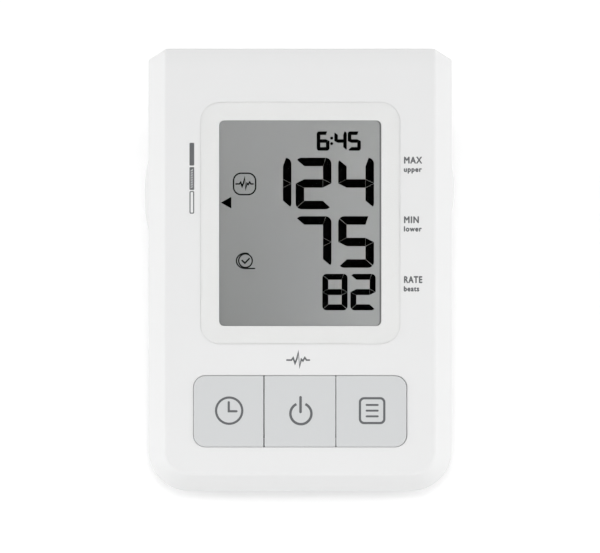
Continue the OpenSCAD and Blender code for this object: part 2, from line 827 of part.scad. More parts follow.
module control_chip() {
    chip_w = 12;
    chip_t = 1.6;
    chip_x = 8;
    chip_above_keys = 14;
    lead_t = 0.3;
    lead_w = 0.5;
    lead_reach = 1.4;
    leads = 8;
    color([0.12, 0.12, 0.13])
    on_face() translate([chip_x, keys_u + chip_above_keys]) {
        slab(board_low_n - chip_t, board_low_n - lead_t) square(chip_w, center = true);
        for (turn = [0 : 90 : 270]) rotate(turn) for (i = [0 : leads - 1])
            translate([(i - (leads - 1) / 2) * chip_w / (leads + 1), chip_w / 2])
                slab(board_low_n - 2 * lead_t, board_low_n)
                    square([lead_w, 2 * lead_reach], center = true);
    }
}

module pressure_sensor() {
    port_depth = 2;
    color([0.9, 0.9, 0.88])
    on_face() translate([sensor_x, sensor_u]) difference() {
        union() {
            slab(board_low_n - sensor_h, board_low_n) square(sensor_size, center = true);
            rod_z(board_low_n - sensor_h - sensor_nipple, board_low_n - joint, nipple_d);
        }
        rod_z(board_low_n - sensor_h - sensor_nipple - beyond, board_low_n - sensor_h + port_depth, air_bore_d);
    }
}

module switch_bodies() {
    spare = 1.5;
    color([0.15, 0.15, 0.16])
    on_face() for (i = [-1, 0, 1]) translate([i * key_pitch, keys_u]) difference() {
        slab(board_top_n, switch_top_n) square(switch_w, center = true);
        rod_z(switch_top_n - key_travel - spare, switch_top_n + beyond, plunger_d + 2 * running_gap);
    }
}

module switch_plunger(i) {
    color([0.3, 0.3, 0.32])
    on_face() translate([i * key_pitch, keys_u])
        rod_z(switch_top_n - beyond, plunger_top_n, plunger_d);
}

module board_screws() {
    color([0.7, 0.7, 0.72])
    on_face() for (p = board_screw_places) translate([p.x, p.y, board_low_n])
        screw(board_screw_d, board_screw_len, board_head_d, board_head_h);
}

// Keys: i is -1, 0 or 1 from left to right
module key_slice(i, grow, inset) {
    left = i == -1 ? -keys_w / 2 - grow : (i - 0.5) * key_pitch + key_gap / 2 + inset;
    right = i == 1 ? keys_w / 2 + grow : (i + 0.5) * key_pitch - key_gap / 2 - inset;
    intersection() {
        round_rect(keys_w + 2 * (grow - inset), keys_len + 2 * (grow - inset), keys_r + grow - inset);
        translate([left, -keys_len]) square([right - left, 2 * keys_len]);
    }
}

module key(i) {
    color([0.83, 0.84, 0.84])
    on_face() translate([0, keys_u]) {
        difference() {
            union() {
                hull() {
                    slab(flange_low_n, key_proud - key_bevel)
                        key_slice(i, -key_edge_gap, 0, $fn = hull_fn);
                    slab(flange_low_n, key_proud)
                        key_slice(i, -key_edge_gap, key_bevel, $fn = hull_fn);
                }
                slab(flange_low_n, flange_top_n) key_slice(i, key_flange, 0);
            }
            slab(flange_low_n - beyond, key_proud - key_top_t)
                key_slice(i, -key_edge_gap - key_side_t, key_side_t);
        }
        translate([i * key_pitch, 0]) rod_z(plunger_top_n, key_proud - key_top_t + joint, key_post_d);
    }
}

// Battery door, the cells and their contacts
module battery_door() {
    grip_count = 5;
    grip_pitch = 2.6;
    grip_w = 26;
    grip_depth = 0.6;
    grip_edge = 4;
    color([0.93, 0.93, 0.93])
    difference() {
        intersection() {
            rear_body();
            union() {
                translate([-door_half_w, door_front_y, base_z])
                    cube([2 * door_half_w, face_len, door_t]);
                translate([-door_half_w - rail_depth, door_front_y, rail_z])
                    cube([2 * (door_half_w + rail_depth), face_len, rail_t]);
                translate([-door_half_w / 2, door_front_y - rail_depth, rail_z])
                    cube([door_half_w, rail_depth + joint, rail_t]);
            }
        }
        for (i = [0 : grip_count - 1])
            translate([-grip_w / 2, back_y(base_z) - base_edge_r - grip_edge - i * grip_pitch, base_z - beyond])
                cube([grip_w, grip_pitch / 2, beyond + grip_depth]);
    }
}

function cell_x(i) = (i - (cell_count - 1) / 2) * cell_pitch;
function cell_sign(i) = i % 2 == 0 ? 1 : -1;

// Turns a piece drawn for a cell whose cap points to the back
module at_cell(i) {
    translate([cell_x(i), contact_mid_y, cell_z]) rotate(cell_sign(i) == 1 ? 0 : 180) children();
}

module battery_cells() {
    cap_d = 5.4;
    cap_h = 1.3;
    color([0.25, 0.3, 0.36])
    for (i = [0 : cell_count - 1]) at_cell(i) {
        rod_y(cell_room / 2 - cell_gap - cell_len, cell_room / 2 - cell_gap - cap_h, cell_d);
        rod_y(cell_room / 2 - cell_gap - cap_h - joint, cell_room / 2 - cell_gap, cap_d);
    }
}

// Point of a cell spring along Y, from its wide end on
function spring_point(t) =
    let (r = spring_big_r + (spring_small_r - spring_big_r) * t, a = 360 * spring_turns * t)
    [r * cos(a), spring_from + (spring_to - spring_from) * t, r * sin(a)];

// Least gap of a spring's wire to its next turn
echo(spring_least_gap = spring_least_gap);

module battery_springs() {
    color([0.75, 0.75, 0.76])
    for (i = [0 : cell_count - 1]) at_cell(i) translate([0, -cell_room / 2, 0])
        wire(spring_points, spring_wire_d / 2, [0, 1, 0], spring_sides);
}

// Contact plates, single at the two outer cells of the front and joined in pairs elsewhere
module battery_contacts() {
    plate_h = 11;
    plate_w = 11;
    color([0.75, 0.75, 0.76]) {
        for (i = [0 : 2 : cell_count - 1])
            contact_plate(i, min(i + 1, cell_count - 1), pocket_back_y - contact_t, plate_w, plate_h);
        for (i = [-1 : 2 : cell_count - 1])
            contact_plate(max(0, i), min(i + 1, cell_count - 1), pocket_front_y, plate_w, plate_h);
    }
}

module contact_plate(first, last, y, w, h) {
    translate([cell_x(first) - w / 2, y, cell_z - h / 2])
        cube([cell_x(last) - cell_x(first) + w, contact_t, h]);
}

// Pump: motor, head, crank shaft, rubber sleeve and pad
module at_pump() {
    translate([0, pump_y, pump_z]) children();
}

module pump_motor() {
    nose_d = 9;
    nose_len = 2;
    tab = [3.5, 0.8, 3];
    color([0.72, 0.72, 0.73])
    at_pump() difference() {
        union() {
            rod_x(motor_left, motor_right, motor_d);
            rod_x(motor_right - joint, motor_right + nose_len, nose_d);
            for (side = [-1, 1]) translate([motor_right, side * motor_d / 4 - tab.y / 2, -tab.z / 2])
                cube(tab);
        }
        rod_x(motor_left - beyond, shaft_hole_end, shaft_d + 2 * running_gap);
    }
}

module pump_head() {
    nipple_len = cross_x + cross_arm + arm_gap - pump_left;
    ring_count = 3;
    ring_depth = 0.6;
    port_depth = 4;
    color([0.2, 0.2, 0.22])
    at_pump() difference() {
        union() {
            rod_x(pump_left, motor_left, head_d);
            translate([0, cross_y - pump_y, cross_z - pump_z])
                rod_x(pump_left + nipple_len, pump_left + joint, nipple_d);
        }
        rod_x(chamber_left, motor_left + beyond, chamber_d);
        translate([0, cross_y - pump_y, cross_z - pump_z])
            rod_x(pump_left + nipple_len - beyond, pump_left + port_depth, air_bore_d);
        for (i = [1 : ring_count]) translate([pump_left + i * head_len / (ring_count + 1), 0, 0])
            difference() {
                rod_x(-ring_depth / 2, ring_depth / 2, head_d + beyond);
                rod_x(-ring_depth, ring_depth, head_d - 2 * ring_depth);
            }
    }
}

module pump_shaft() {
    color([0.8, 0.8, 0.82])
    at_pump() {
        rod_x(chamber_left + crank_gap - joint, shaft_hole_end - beyond, shaft_d);
        translate([0, 0, crank_shift])
            rod_x(chamber_left + crank_gap, chamber_left + crank_gap + crank_t, crank_d);
    }
}

module pump_sleeve() {
    color([0.15, 0.15, 0.15])
    at_pump() difference() {
        rod_x(sleeve_left, sleeve_right, 2 * sleeve_r);
        rod_x(sleeve_left - beyond, sleeve_right + beyond, motor_d + 2 * curved_gap);
    }
}

module pump_pad() {
    pump_u = (pump_y - face_y) * cos(face_tilt) + (pump_z - face_z) * sin(face_tilt);
    pump_n = (pump_z - face_z) * cos(face_tilt) - (pump_y - face_y) * sin(face_tilt);
    pad_w = 8;
    color([0.3, 0.3, 0.3])
    on_face() translate([sleeve_left, min(pump_u, board_back_u - pad_w / 2 - joint) - pad_w / 2])
        slab(pump_n + sleeve_r + curved_gap, board_low_n) square([sleeve_right - sleeve_left, pad_w]);
}

// Exhaust valve with its sliding plunger
module exhaust_valve() {
    nipple_top = cross_z - cross_arm - arm_gap;
    port_depth = 2;
    bore_end = valve_plunger_len + valve_stroke + beyond - valve_len / 2;
    color([0.25, 0.25, 0.27])
    difference() {
        union() {
            translate([valve_x - valve_w / 2, cross_y - valve_len / 2, floor_z])
                cube([valve_w, valve_len, valve_h]);
            translate([cross_x, cross_y, 0]) rod_z(valve_top_z - joint, nipple_top, nipple_d);
        }
        translate([cross_x, cross_y, 0]) rod_z(valve_top_z - port_depth, nipple_top + beyond, air_bore_d);
        translate([valve_x, cross_y, floor_z + valve_h / 2])
            rod_y(-valve_len / 2 - beyond, bore_end, plunger_bore_d + 2 * running_gap);
    }
}

module valve_plunger() {
    color([0.78, 0.78, 0.8])
    translate([valve_x, cross_y, floor_z + valve_h / 2])
        rod_y(-valve_len / 2 - valve_plunger_out, valve_plunger_len - valve_len / 2, plunger_bore_d);
}

// Cross that joins pump, cuff, sensor and valve
module air_cross() {
    color([0.92, 0.92, 0.9])
    translate([cross_x, cross_y, cross_z]) difference() {
        union() {
            cube(cross_size, center = true);
            rod_x(0, cross_arm, nipple_d);
            rod_y(-cross_arm, 0, nipple_d);
            rod_z(-cross_arm, cross_arm, nipple_d);
        }
        rod_x(0, cross_arm + beyond, air_bore_d);
        rod_y(-cross_arm - beyond, 0, air_bore_d);
        rod_z(-cross_arm - beyond, cross_arm + beyond, air_bore_d);
    }
}

// Route of the sensor hose: straight over both nipples, with a curve between them
function sensor_hose_point(t) =
    pow(1 - t, 3) * sensor_end + 3 * t * pow(1 - t, 2) * (sensor_end + sensor_pull * sensor_down)
    + 3 * t * t * (1 - t) * (cross_end + [0, 0, sensor_pull]) + pow(t, 3) * cross_end;
sensor_route = concat(
    [sensor_port],
    [for (i = [0 : sensor_hose_steps]) sensor_hose_point(i / sensor_hose_steps)],
    [cross_port]
);

module air_hoses() {
    near = cross_size / 2 + seat_gap;
    barrel_side = cuff_barrel_d / 2 + seat_gap;
    color([0.85, 0.85, 0.83]) {
        translate([0, cross_y, cross_z]) difference() {
            rod_x(cross_x + near, pump_left - seat_gap, hose_d);
            rod_x(cross_x, pump_left + beyond, hose_bore_d);
        }
        translate([cross_x, 0, cross_z]) difference() {
            rod_y(cuff_centre.y + barrel_side, cross_y - near, hose_d);
            rod_y(cuff_centre.y, cross_y, hose_bore_d);
        }
        translate([cross_x, cross_y, 0]) difference() {
            rod_z(valve_top_z + seat_gap, cross_z - near, hose_d);
            rod_z(valve_top_z - beyond, cross_z, hose_bore_d);
        }
        hose(sensor_route, hose_d / 2, hose_bore_d / 2 + seat_gap, [1, 0, 0], hose_sides);
    }
}

// Round boss with a domed top, standing out along +X from x = 0
module domed_boss(d, edge_h, dome_h) {
    dome_r = (d * d / 4 + dome_h * dome_h) / (2 * dome_h);
    rotate([0, 90, 0]) rotate_extrude() intersection() {
        square([d / 2, edge_h + dome_h]);
        translate([0, edge_h + dome_h - dome_r]) circle(dome_r, $fn = dome_fn);
    }
}

// Cuff air socket on the left: boss, barrel, bore and a side nipple for its hose
module cuff_socket() {
    nipple_reach = cross_y - cross_arm - arm_gap - cuff_centre.y;
    color([0.92, 0.92, 0.92])
    translate([0, cuff_centre.y, cuff_centre.z]) difference() {
        union() {
            mirror([1, 0, 0]) {
                translate([half_w, 0, 0]) domed_boss(cuff_boss_d, boss_edge_h, cuff_dome_h);
                rod_x(cuff_barrel_end, half_w + joint, cuff_barrel_d);
            }
            translate([cross_x, 0, 0]) rod_y(0, nipple_reach, nipple_d);
        }
        mirror([1, 0, 0]) {
            rod_x(cuff_mouth, cuff_mouth + beyond, cuff_bore_d + 2 * mouth_rim);
            rod_x(cuff_bore_end, cuff_mouth + beyond, cuff_bore_d);
            rod_x(-cross_x, cuff_bore_end + joint, air_bore_d);
        }
        translate([cross_x, 0, 0]) rod_y(0, nipple_reach + beyond, air_bore_d);
    }
}

// Hexagonal nut on a socket's barrel, at x from the wall inwards
module socket_nut(barrel_d) {
    difference() {
        translate([-nut_t, 0, 0]) rotate([0, 90, 0]) cylinder(d = barrel_d + 2 * nut_w, h = nut_t, $fn = 6);
        rod_x(-nut_t - beyond, beyond, barrel_d + 2 * seat_gap);
    }
}

module cuff_socket_nut() {
    color([0.3, 0.3, 0.32])
    translate([-half_w + wall + seal_t, cuff_centre.y, cuff_centre.z])
        mirror([1, 0, 0]) socket_nut(cuff_barrel_d);
}

module cuff_socket_seal() {
    color([0.12, 0.12, 0.12])
    translate([-half_w + wall, cuff_centre.y, cuff_centre.z]) difference() {
        rod_x(0, seal_t, cuff_barrel_d + nut_w);
        rod_x(-beyond, seal_t + beyond, cuff_barrel_d + 2 * seat_gap);
    }
}

// Mains adapter socket on the right, with its centre pin and nut
module dc_socket() {
    color([0.16, 0.16, 0.17])
    translate([0, dc_centre.y, dc_centre.z]) difference() {
        union() {
            translate([half_w, 0, 0]) domed_boss(dc_boss_d, boss_edge_h, dc_dome_h);
            rod_x(dc_barrel_end, half_w + joint, dc_barrel_d);
        }
        rod_x(dc_mouth, dc_mouth + beyond, dc_bore_d + 2 * mouth_rim);
        rod_x(dc_bore_end, dc_mouth + beyond, dc_bore_d);
        rod_x(dc_barrel_end - beyond, dc_bore_end + beyond, dc_pin_d + 2 * running_gap);
    }
}

module dc_pin() {
    tab = [4, 0.8, dc_pin_d];
    pin_sink = 1.5;
    color([0.8, 0.8, 0.8])
    translate([0, dc_centre.y, dc_centre.z]) {
        rod_x(dc_barrel_end - beyond, dc_mouth - pin_sink, dc_pin_d);
        translate([dc_barrel_end - seat_gap - tab.x, -tab.y / 2, -tab.z / 2]) cube(tab);
    }
}

module dc_socket_nut() {
    color([0.3, 0.3, 0.32])
    translate([half_w - wall, dc_centre.y, dc_centre.z]) socket_nut(dc_barrel_d);
}

// Feet and case screws
module rubber_feet() {
    color([0.2, 0.2, 0.2])
    for (p = foot_places) translate(p) rod_z(0, base_z + foot_recess, foot_d);
}

module case_screws() {
    color([0.7, 0.7, 0.72])
    on_face() for (p = case_screw_places) translate([p.x, p.y, case_seat_n])
        screw(case_screw_d, case_screw_len, case_head_d, case_head_h);
}

front_cover();
rear_cover();
display_lens();
lens_gasket();
lcd_panel();
lcd_frame();
lcd_connectors();
main_board();
control_chip();
pressure_sensor();
switch_bodies();
switch_plunger(-1);  // switch_plunger_time
switch_plunger(0);  // switch_plunger_power
switch_plunger(1);  // switch_plunger_memory
key(-1);  // key_time
key(0);  // key_power
key(1);  // key_memory
board_screws();
battery_door();
battery_cells();
battery_springs();
battery_contacts();
pump_motor();
pump_head();
pump_shaft();
pump_sleeve();
pump_pad();
exhaust_valve();
valve_plunger();
air_cross();
air_hoses();
cuff_socket();
cuff_socket_nut();
cuff_socket_seal();
dc_socket();
dc_pin();
dc_socket_nut();
rubber_feet();
case_screws();
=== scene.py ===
import math
import bpy
import bmesh
from mathutils import Matrix, Vector
from mathutils.geometry import tessellate_polygon


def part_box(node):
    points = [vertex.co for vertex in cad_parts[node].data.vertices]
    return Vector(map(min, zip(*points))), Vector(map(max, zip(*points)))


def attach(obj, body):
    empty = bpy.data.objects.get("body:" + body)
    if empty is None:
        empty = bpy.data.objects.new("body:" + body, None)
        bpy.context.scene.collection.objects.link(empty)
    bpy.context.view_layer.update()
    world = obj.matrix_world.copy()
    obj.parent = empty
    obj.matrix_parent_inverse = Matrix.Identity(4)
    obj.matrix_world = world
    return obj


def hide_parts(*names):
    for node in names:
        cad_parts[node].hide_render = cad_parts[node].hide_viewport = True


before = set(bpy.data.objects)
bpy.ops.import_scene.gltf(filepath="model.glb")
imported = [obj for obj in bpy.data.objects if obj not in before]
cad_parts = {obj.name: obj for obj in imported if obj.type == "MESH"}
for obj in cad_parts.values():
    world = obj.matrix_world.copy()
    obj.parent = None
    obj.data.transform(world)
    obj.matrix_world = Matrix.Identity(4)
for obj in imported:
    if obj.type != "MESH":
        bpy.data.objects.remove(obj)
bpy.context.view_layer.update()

MM = 0.001

# The face frame: x to the right, u up the face, n out of the face, in millimetres
TILT = math.radians(18)
FACE_Y, FACE_Z = -1.83769, 42.3797
FACE = Matrix((
    (MM, 0, 0, 0),
    (0, MM * math.cos(TILT), -MM * math.sin(TILT), MM * FACE_Y),
    (0, MM * math.sin(TILT), MM * math.cos(TILT), MM * FACE_Z),
    (0, 0, 0, 1),
))
WORLD = Matrix.Scale(MM, 4)

# Camera, square to the face
AIM_X, AIM_U, FAR_N, FRAME_W = -0.06, -1.787, 1041.0, 187.44
FILM_W = 36
cam = bpy.data.objects.new("camera", bpy.data.cameras.new("camera"))
bpy.context.collection.objects.link(cam)
cam.data.sensor_width = FILM_W
cam.data.lens = FILM_W * FAR_N / FRAME_W
cam.data.clip_start = 0.01
cam.data.clip_end = 50
cam.rotation_euler = (TILT, 0, 0)
cam.location = FACE @ Vector((AIM_X, AIM_U, FAR_N))
bpy.context.scene.camera = cam
bpy.context.scene.view_settings.view_transform = "Standard"


# Materials
class Nodes:
    """A material's node tree, with a shader that the helpers below feed."""

    def __init__(self, name):
        self.mat = bpy.data.materials.new(name)
        self.mat.use_nodes = True
        self.tree = self.mat.node_tree
        self.shader = self.tree.nodes["Principled BSDF"]
        self.coord = self.add("ShaderNodeTexCoord")

    def add(self, kind, **values):
        node = self.tree.nodes.new(kind)
        for key, value in values.items():
            setattr(node, key, value)
        return node

    def link(self, out, into):
        self.tree.links.new(out, into)

    def put(self, socket, value):
        self.shader.inputs[socket].default_value = value

    def noise(self, scale, detail=3.0, rough=0.5, stretch=(1, 1, 1)):
        place = self.add("ShaderNodeMapping")
        place.inputs["Scale"].default_value = stretch
        self.link(self.coord.outputs["Object"], place.inputs["Vector"])
        tex = self.add("ShaderNodeTexNoise")
        tex.inputs["Scale"].default_value = scale
        tex.inputs["Detail"].default_value = detail
        tex.inputs["Roughness"].default_value = rough
        self.link(place.outputs["Vector"], tex.inputs["Vector"])
        return tex.outputs["Fac"]

    def span(self, value, low, high, start=0.3, end=0.7):
        node = self.add("ShaderNodeMapRange")
        ends = {"From Min": start, "From Max": end, "To Min": low, "To Max": high}
        for key, number in ends.items():
            node.inputs[key].default_value = number
        self.link(value, node.inputs["Value"])
        return node.outputs["Result"]

    def mix(self, share, a, b):
        node = self.add("ShaderNodeMix", data_type="RGBA")
        for socket, value in ((node.inputs[0], share), (node.inputs[6], a), (node.inputs[7], b)):
            if isinstance(value, bpy.types.NodeSocket):
                self.link(value, socket)
            elif isinstance(value, (int, float)):
                socket.default_value = value
            else:
                socket.default_value = (*value, 1)
        return node.outputs[2]

    def math(self, operation, *values):
        node = self.add("ShaderNodeMath", operation=operation)
        for socket, value in zip(node.inputs, values):
            if isinstance(value, bpy.types.NodeSocket):
                self.link(value, socket)
            else:
                socket.default_value = value
        return node.outputs[0]

    def axes(self):
        node = self.add("ShaderNodeSeparateXYZ")
        self.link(self.coord.outputs["Object"], node.inputs[0])
        return node.outputs

    def colour(self, value):
        self.link(value, self.shader.inputs["Base Color"])

    def relief(self, height, depth, strength=1.0):
        node = self.add("ShaderNodeBump")
        node.inputs["Distance"].default_value = depth
        node.inputs["Strength"].default_value = strength
        self.link(height, node.inputs["Height"])
        self.link(node.outputs["Normal"], self.shader.inputs["Normal"])


def shade(colour, factor):
    return tuple(min(1.0, c * factor) for c in colour)


def surface(name, colour, rough=0.5, metallic=0.0, specular=0.5, vary=0.02, patch=90.0,
            grain=2500.0, depth=0.00001, strength=0.25, rough_vary=0.06, stretch=(1, 1, 1)):
    """Moulded plastic, rubber or metal: a slightly uneven tone, a grain and an uneven gloss."""
    m = Nodes(name)
    m.put("Metallic", metallic)
    m.put("Specular IOR Level", specular)
    m.put("IOR", 1.5)
    m.colour(m.mix(m.noise(patch, 2.0), shade(colour, 1 - vary), shade(colour, 1 + vary)))
    grain_out = m.noise(grain, 2.0, 0.6, stretch)
    m.link(m.span(grain_out, rough - rough_vary, rough + rough_vary), m.shader.inputs["Roughness"])
    m.relief(grain_out, depth, strength)
    return m.mat


SHELL = (0.785, 0.787, 0.787)
KEY = (0.622, 0.633, 0.638)
INK = (0.125, 0.129, 0.135)

shell = surface("shell_white", SHELL, 0.5, vary=0.006, specular=0.4)
door = surface("door_white", shade(SHELL, 0.99), 0.52, vary=0.008, specular=0.4)
key_mat = surface("key_grey", KEY, 0.55, vary=0.006, specular=0.35, grain=3200.0)
mask = surface("lens_print", (0.806, 0.809, 0.803), 0.6, vary=0.004, specular=0.3)
ink = surface("print_grey", INK, 0.6, vary=0.06, patch=700.0, specular=0.3)
segment_ink = surface("segment_black", (0.0012, 0.0012, 0.0013), 0.7, vary=0.2, specular=0.0)
# Painted shadow: dark grey for the strip along the panel's right edge, where the border shades the
# panel
painted_edge_shadow = surface("panel_edge_shadow", (0.21, 0.215, 0.213), 0.6, vary=0.05, specular=0.1)
sign_ink = surface("segment_thin", (0.004, 0.004, 0.0042), 0.7, vary=0.2, specular=0.0)
ivory = surface("frame_ivory", (0.66, 0.65, 0.58), 0.55, vary=0.02)
strip = surface("strip_pink", (0.72, 0.28, 0.30), 0.6, vary=0.05, stretch=(30, 1, 1))
chip = surface("chip_black", (0.014, 0.014, 0.016), 0.45, vary=0.2, depth=0.00002, strength=0.4)
sensor = surface("sensor_white", (0.70, 0.70, 0.66), 0.5, vary=0.02)
plunger = surface("plunger_grey", (0.10, 0.10, 0.11), 0.5, vary=0.08)
steel = surface("steel_bright", (0.58, 0.58, 0.60), 0.28, 1.0, vary=0.05, rough_vary=0.1)
nickel = surface("contact_nickel", (0.66, 0.63, 0.57), 0.3, 1.0, vary=0.05, stretch=(1, 1, 12))
wire = surface("spring_nickel", (0.62, 0.60, 0.56), 0.25, 1.0, vary=0.06)
motor = surface("motor_steel", (0.52, 0.52, 0.53), 0.36, 1.0, vary=0.05, stretch=(1, 14, 14),
                rough_vary=0.1)
shaft = surface("shaft_steel", (0.60, 0.60, 0.62), 0.22, 1.0, vary=0.05, stretch=(1, 12, 12))
head = surface("head_black", (0.022, 0.022, 0.026), 0.5, vary=0.15)
rubber = surface("rubber_black", (0.016, 0.016, 0.017), 0.75, vary=0.2, depth=0.00003, strength=0.4)
foam = surface("foam_grey", (0.075, 0.075, 0.08), 0.95, vary=0.25, patch=1500.0, specular=0.1,
               grain=1600.0, depth=0.00025, strength=0.9)
valve = surface("valve_black", (0.03, 0.03, 0.034), 0.48, vary=0.12)
cross = surface("cross_white", (0.74, 0.74, 0.70), 0.42, vary=0.02)
socket_light = surface("socket_white", shade(SHELL, 0.99), 0.42, vary=0.008)
socket_dark = surface("socket_grey", shade(SHELL, 0.98), 0.42, vary=0.008)
nut = surface("nut_grey", (0.075, 0.075, 0.082), 0.5, vary=0.1)
feet = surface("feet_grey", (0.055, 0.055, 0.058), 0.82, vary=0.15, depth=0.00003, strength=0.4)


def clear_plate(name):
    """Clear plate that hardly bends the light, with a faint gloss."""
    m = Nodes(name)
    m.put("Base Color", (1, 1, 1, 1))
    m.put("Transmission Weight", 1.0)
    m.put("IOR", 1.02)
    m.put("Coat Weight", 0.25)
    m.put("Coat Roughness", 0.02)
    m.link(m.span(m.noise(140.0), 0.0, 0.015), m.shader.inputs["Roughness"])
    return m.mat


def milky_hose(name):
    """Milky silicone that lets a little light in."""
    m = Nodes(name)
    m.colour(m.mix(m.noise(300.0), (0.72, 0.72, 0.68), (0.80, 0.80, 0.76)))
    m.put("Subsurface Weight", 0.4)
    m.put("Subsurface Radius", (1, 1, 1))
    m.put("Subsurface Scale", 0.0006)
    m.link(m.span(m.noise(900.0), 0.25, 0.38), m.shader.inputs["Roughness"])
    m.relief(m.noise(2600.0), 0.00001, 0.2)
    return m.mat


PANEL_HALF, PANEL_LOW, PANEL_HIGH = 0.0254, 0.037, 0.0575


def display_glass(name):
    """Grey cells of the panel, paler to the right and darkest at the lower left."""
    m = Nodes(name)
    x, _, z = m.axes()
    across = m.span(x, 0.0, 1.0, -PANEL_HALF, PANEL_HALF)
    down = m.span(z, 1.0, 0.0, PANEL_LOW, PANEL_HIGH)
    left = m.mix(down, (0.358, 0.364, 0.359), (0.291, 0.297, 0.293))
    right = m.mix(down, (0.402, 0.410, 0.405), (0.420, 0.431, 0.428))
    tone = m.mix(m.math("POWER", across, 1.4), left, right)
    m.colour(m.mix(m.span(m.noise(1500.0), 0.0, 0.05), tone, (0.2, 0.2, 0.2)))
    m.link(m.span(m.noise(2500.0), 0.55, 0.7), m.shader.inputs["Roughness"])
    m.put("Specular IOR Level", 0.1)
    return m.mat


# Tracks, fields with tracks of one direction, and dots to a metre, and how much they fill
TRACKS, FIELDS_X, FIELDS_U, DOTS = 800.0, 130.0, 160.0, 220.0
TRACK_SHARE, FIELD_SHARE, DOT_SHARE = 0.4, 0.85, 0.13


def board_lacquer(name):
    """Green lacquer over bundles of straight tracks, with tinned dots."""
    m = Nodes(name)
    x, y, z = m.axes()
    u = m.math("ADD", m.math("MULTIPLY", y, math.cos(TILT)),
               m.math("MULTIPLY", z, math.sin(TILT)))

    def stripes(value):
        return m.math("LESS_THAN", m.math("FRACT", m.math("MULTIPLY", value, TRACKS)), TRACK_SHARE)

    field = m.add("ShaderNodeCombineXYZ")
    m.link(m.math("FLOOR", m.math("MULTIPLY", x, FIELDS_X)), field.inputs[0])
    m.link(m.math("FLOOR", m.math("MULTIPLY", u, FIELDS_U)), field.inputs[1])
    pick = m.add("ShaderNodeTexWhiteNoise")
    m.link(field.outputs[0], pick.inputs["Vector"])
    turn = m.math("GREATER_THAN", pick.outputs["Value"], 0.5)
    lines = m.math("ADD", m.math("MULTIPLY", turn, stripes(x)),
                   m.math("MULTIPLY", m.math("SUBTRACT", 1.0, turn), stripes(u)))
    track = m.math("MULTIPLY", lines, m.math("LESS_THAN", pick.outputs["Value"], FIELD_SHARE))
    cells = m.add("ShaderNodeTexVoronoi")
    cells.inputs["Scale"].default_value = DOTS
    m.link(m.coord.outputs["Object"], cells.inputs["Vector"])
    dot = m.math("LESS_THAN", cells.outputs["Distance"], DOT_SHARE)
    green = m.mix(track, (0.010, 0.085, 0.032), (0.024, 0.150, 0.055))
    m.colour(m.mix(dot, green, (0.55, 0.55, 0.52)))
    m.link(m.span(m.noise(700.0), 0.25, 0.4), m.shader.inputs["Roughness"])
    m.relief(track, 0.00003, 0.5)
    return m.mat


CELL_PITCH, CELL_MID, BAND_FROM, CAP_FROM = 0.0147, 0.0324474, 0.0135, 0.0262


def cell_wrap(name):
    """Shrink wrap of the cells, with a copper band at each cap end and bright caps."""
    m = Nodes(name)
    x, y, _ = m.axes()
    place = m.math("FLOOR", m.math("ADD", m.math("DIVIDE", x, CELL_PITCH), 2.0))
    odd = m.math("MODULO", place, 2.0)
    way = m.math("SUBTRACT", 1.0, m.math("MULTIPLY", odd, 2.0))
    along = m.math("MULTIPLY", m.math("SUBTRACT", y, CELL_MID), way)
    band = m.math("GREATER_THAN", along, BAND_FROM)
    bare = m.math("GREATER_THAN", along, CAP_FROM)
    wrap = m.mix(m.noise(400.0), (0.016, 0.018, 0.022), (0.024, 0.027, 0.032))
    copper = m.mix(m.noise(500.0), (0.50, 0.24, 0.10), (0.58, 0.30, 0.13))
    m.colour(m.mix(bare, m.mix(band, wrap, copper), (0.62, 0.62, 0.63)))
    m.link(m.math("MAXIMUM", m.math("MULTIPLY", band, 0.75), bare), m.shader.inputs["Metallic"])
    m.link(m.span(m.noise(1200.0, 2.0, 0.5, (1, 8, 1)), 0.24, 0.36), m.shader.inputs["Roughness"])
    return m.mat


lens_mat = clear_plate("lens_clear")
hose_mat = milky_hose("hose_clear")
panel_mat = display_glass("lcd_grey")
board_mat = board_lacquer("board_green")
cell_mat = cell_wrap("cell_wrap")


# Meshes
WELD, CAD_WELD, THINNEST = 2e-7, 1e-6, 1e-7
CORNERS = ((1, -1, -90), (1, 1, 0), (-1, 1, 90), (-1, -1, 180))
INK_T = 0.012


def piece(name, points, faces, mat, body, place=FACE, stands_for=(), smooth=None):
    """A mesh piece from points in millimetres, welded, with outward normals, riding on a body."""
    bm = bmesh.new()
    verts = [bm.verts.new(place @ Vector(p)) for p in points]
    for f in faces:
        corners = [verts[i] for i in dict.fromkeys(f)]
        if len(corners) > 2 and not bm.faces.get(corners):
            bm.faces.new(corners)
    bmesh.ops.remove_doubles(bm, verts=bm.verts, dist=WELD)
    bmesh.ops.dissolve_degenerate(bm, edges=bm.edges, dist=THINNEST)
    bmesh.ops.recalc_face_normals(bm, faces=bm.faces)
    mesh = bpy.data.meshes.new(name)
    bm.to_mesh(mesh)
    bm.free()
    dress(name, mesh, mat, body, stands_for, smooth)


def even_normals(obj):
    """Normals that follow the large faces, so that narrow roundings shade softly."""
    weigh = obj.modifiers.new("weighted", "WEIGHTED_NORMAL")
    weigh.keep_sharp = True
    weigh.weight = 80


def dress(name, mesh, mat, body, stands_for=(), smooth=None):
    """An object for a mesh, with its material, its body and the CAD nodes it stands for."""
    obj = bpy.data.objects.new(name, mesh)
    bpy.context.collection.objects.link(obj)
    mesh.materials.append(mat)
    if smooth:
        mesh.shade_smooth()
        mesh.set_sharp_from_angle(angle=math.radians(smooth))
        even_normals(obj)
    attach(obj, body)
    if stands_for:
        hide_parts(*stands_for)
    return obj


def round_rect(x, y, w, h, r, steps=8):
    pts = []
    for sx, sy, start in CORNERS:
        for i in range(steps + 1):
            a = math.radians(start + 90 * i / steps)
            pts.append((x + sx * (w / 2 - r) + r * math.cos(a),
                        y + sy * (h / 2 - r) + r * math.sin(a)))
    return pts


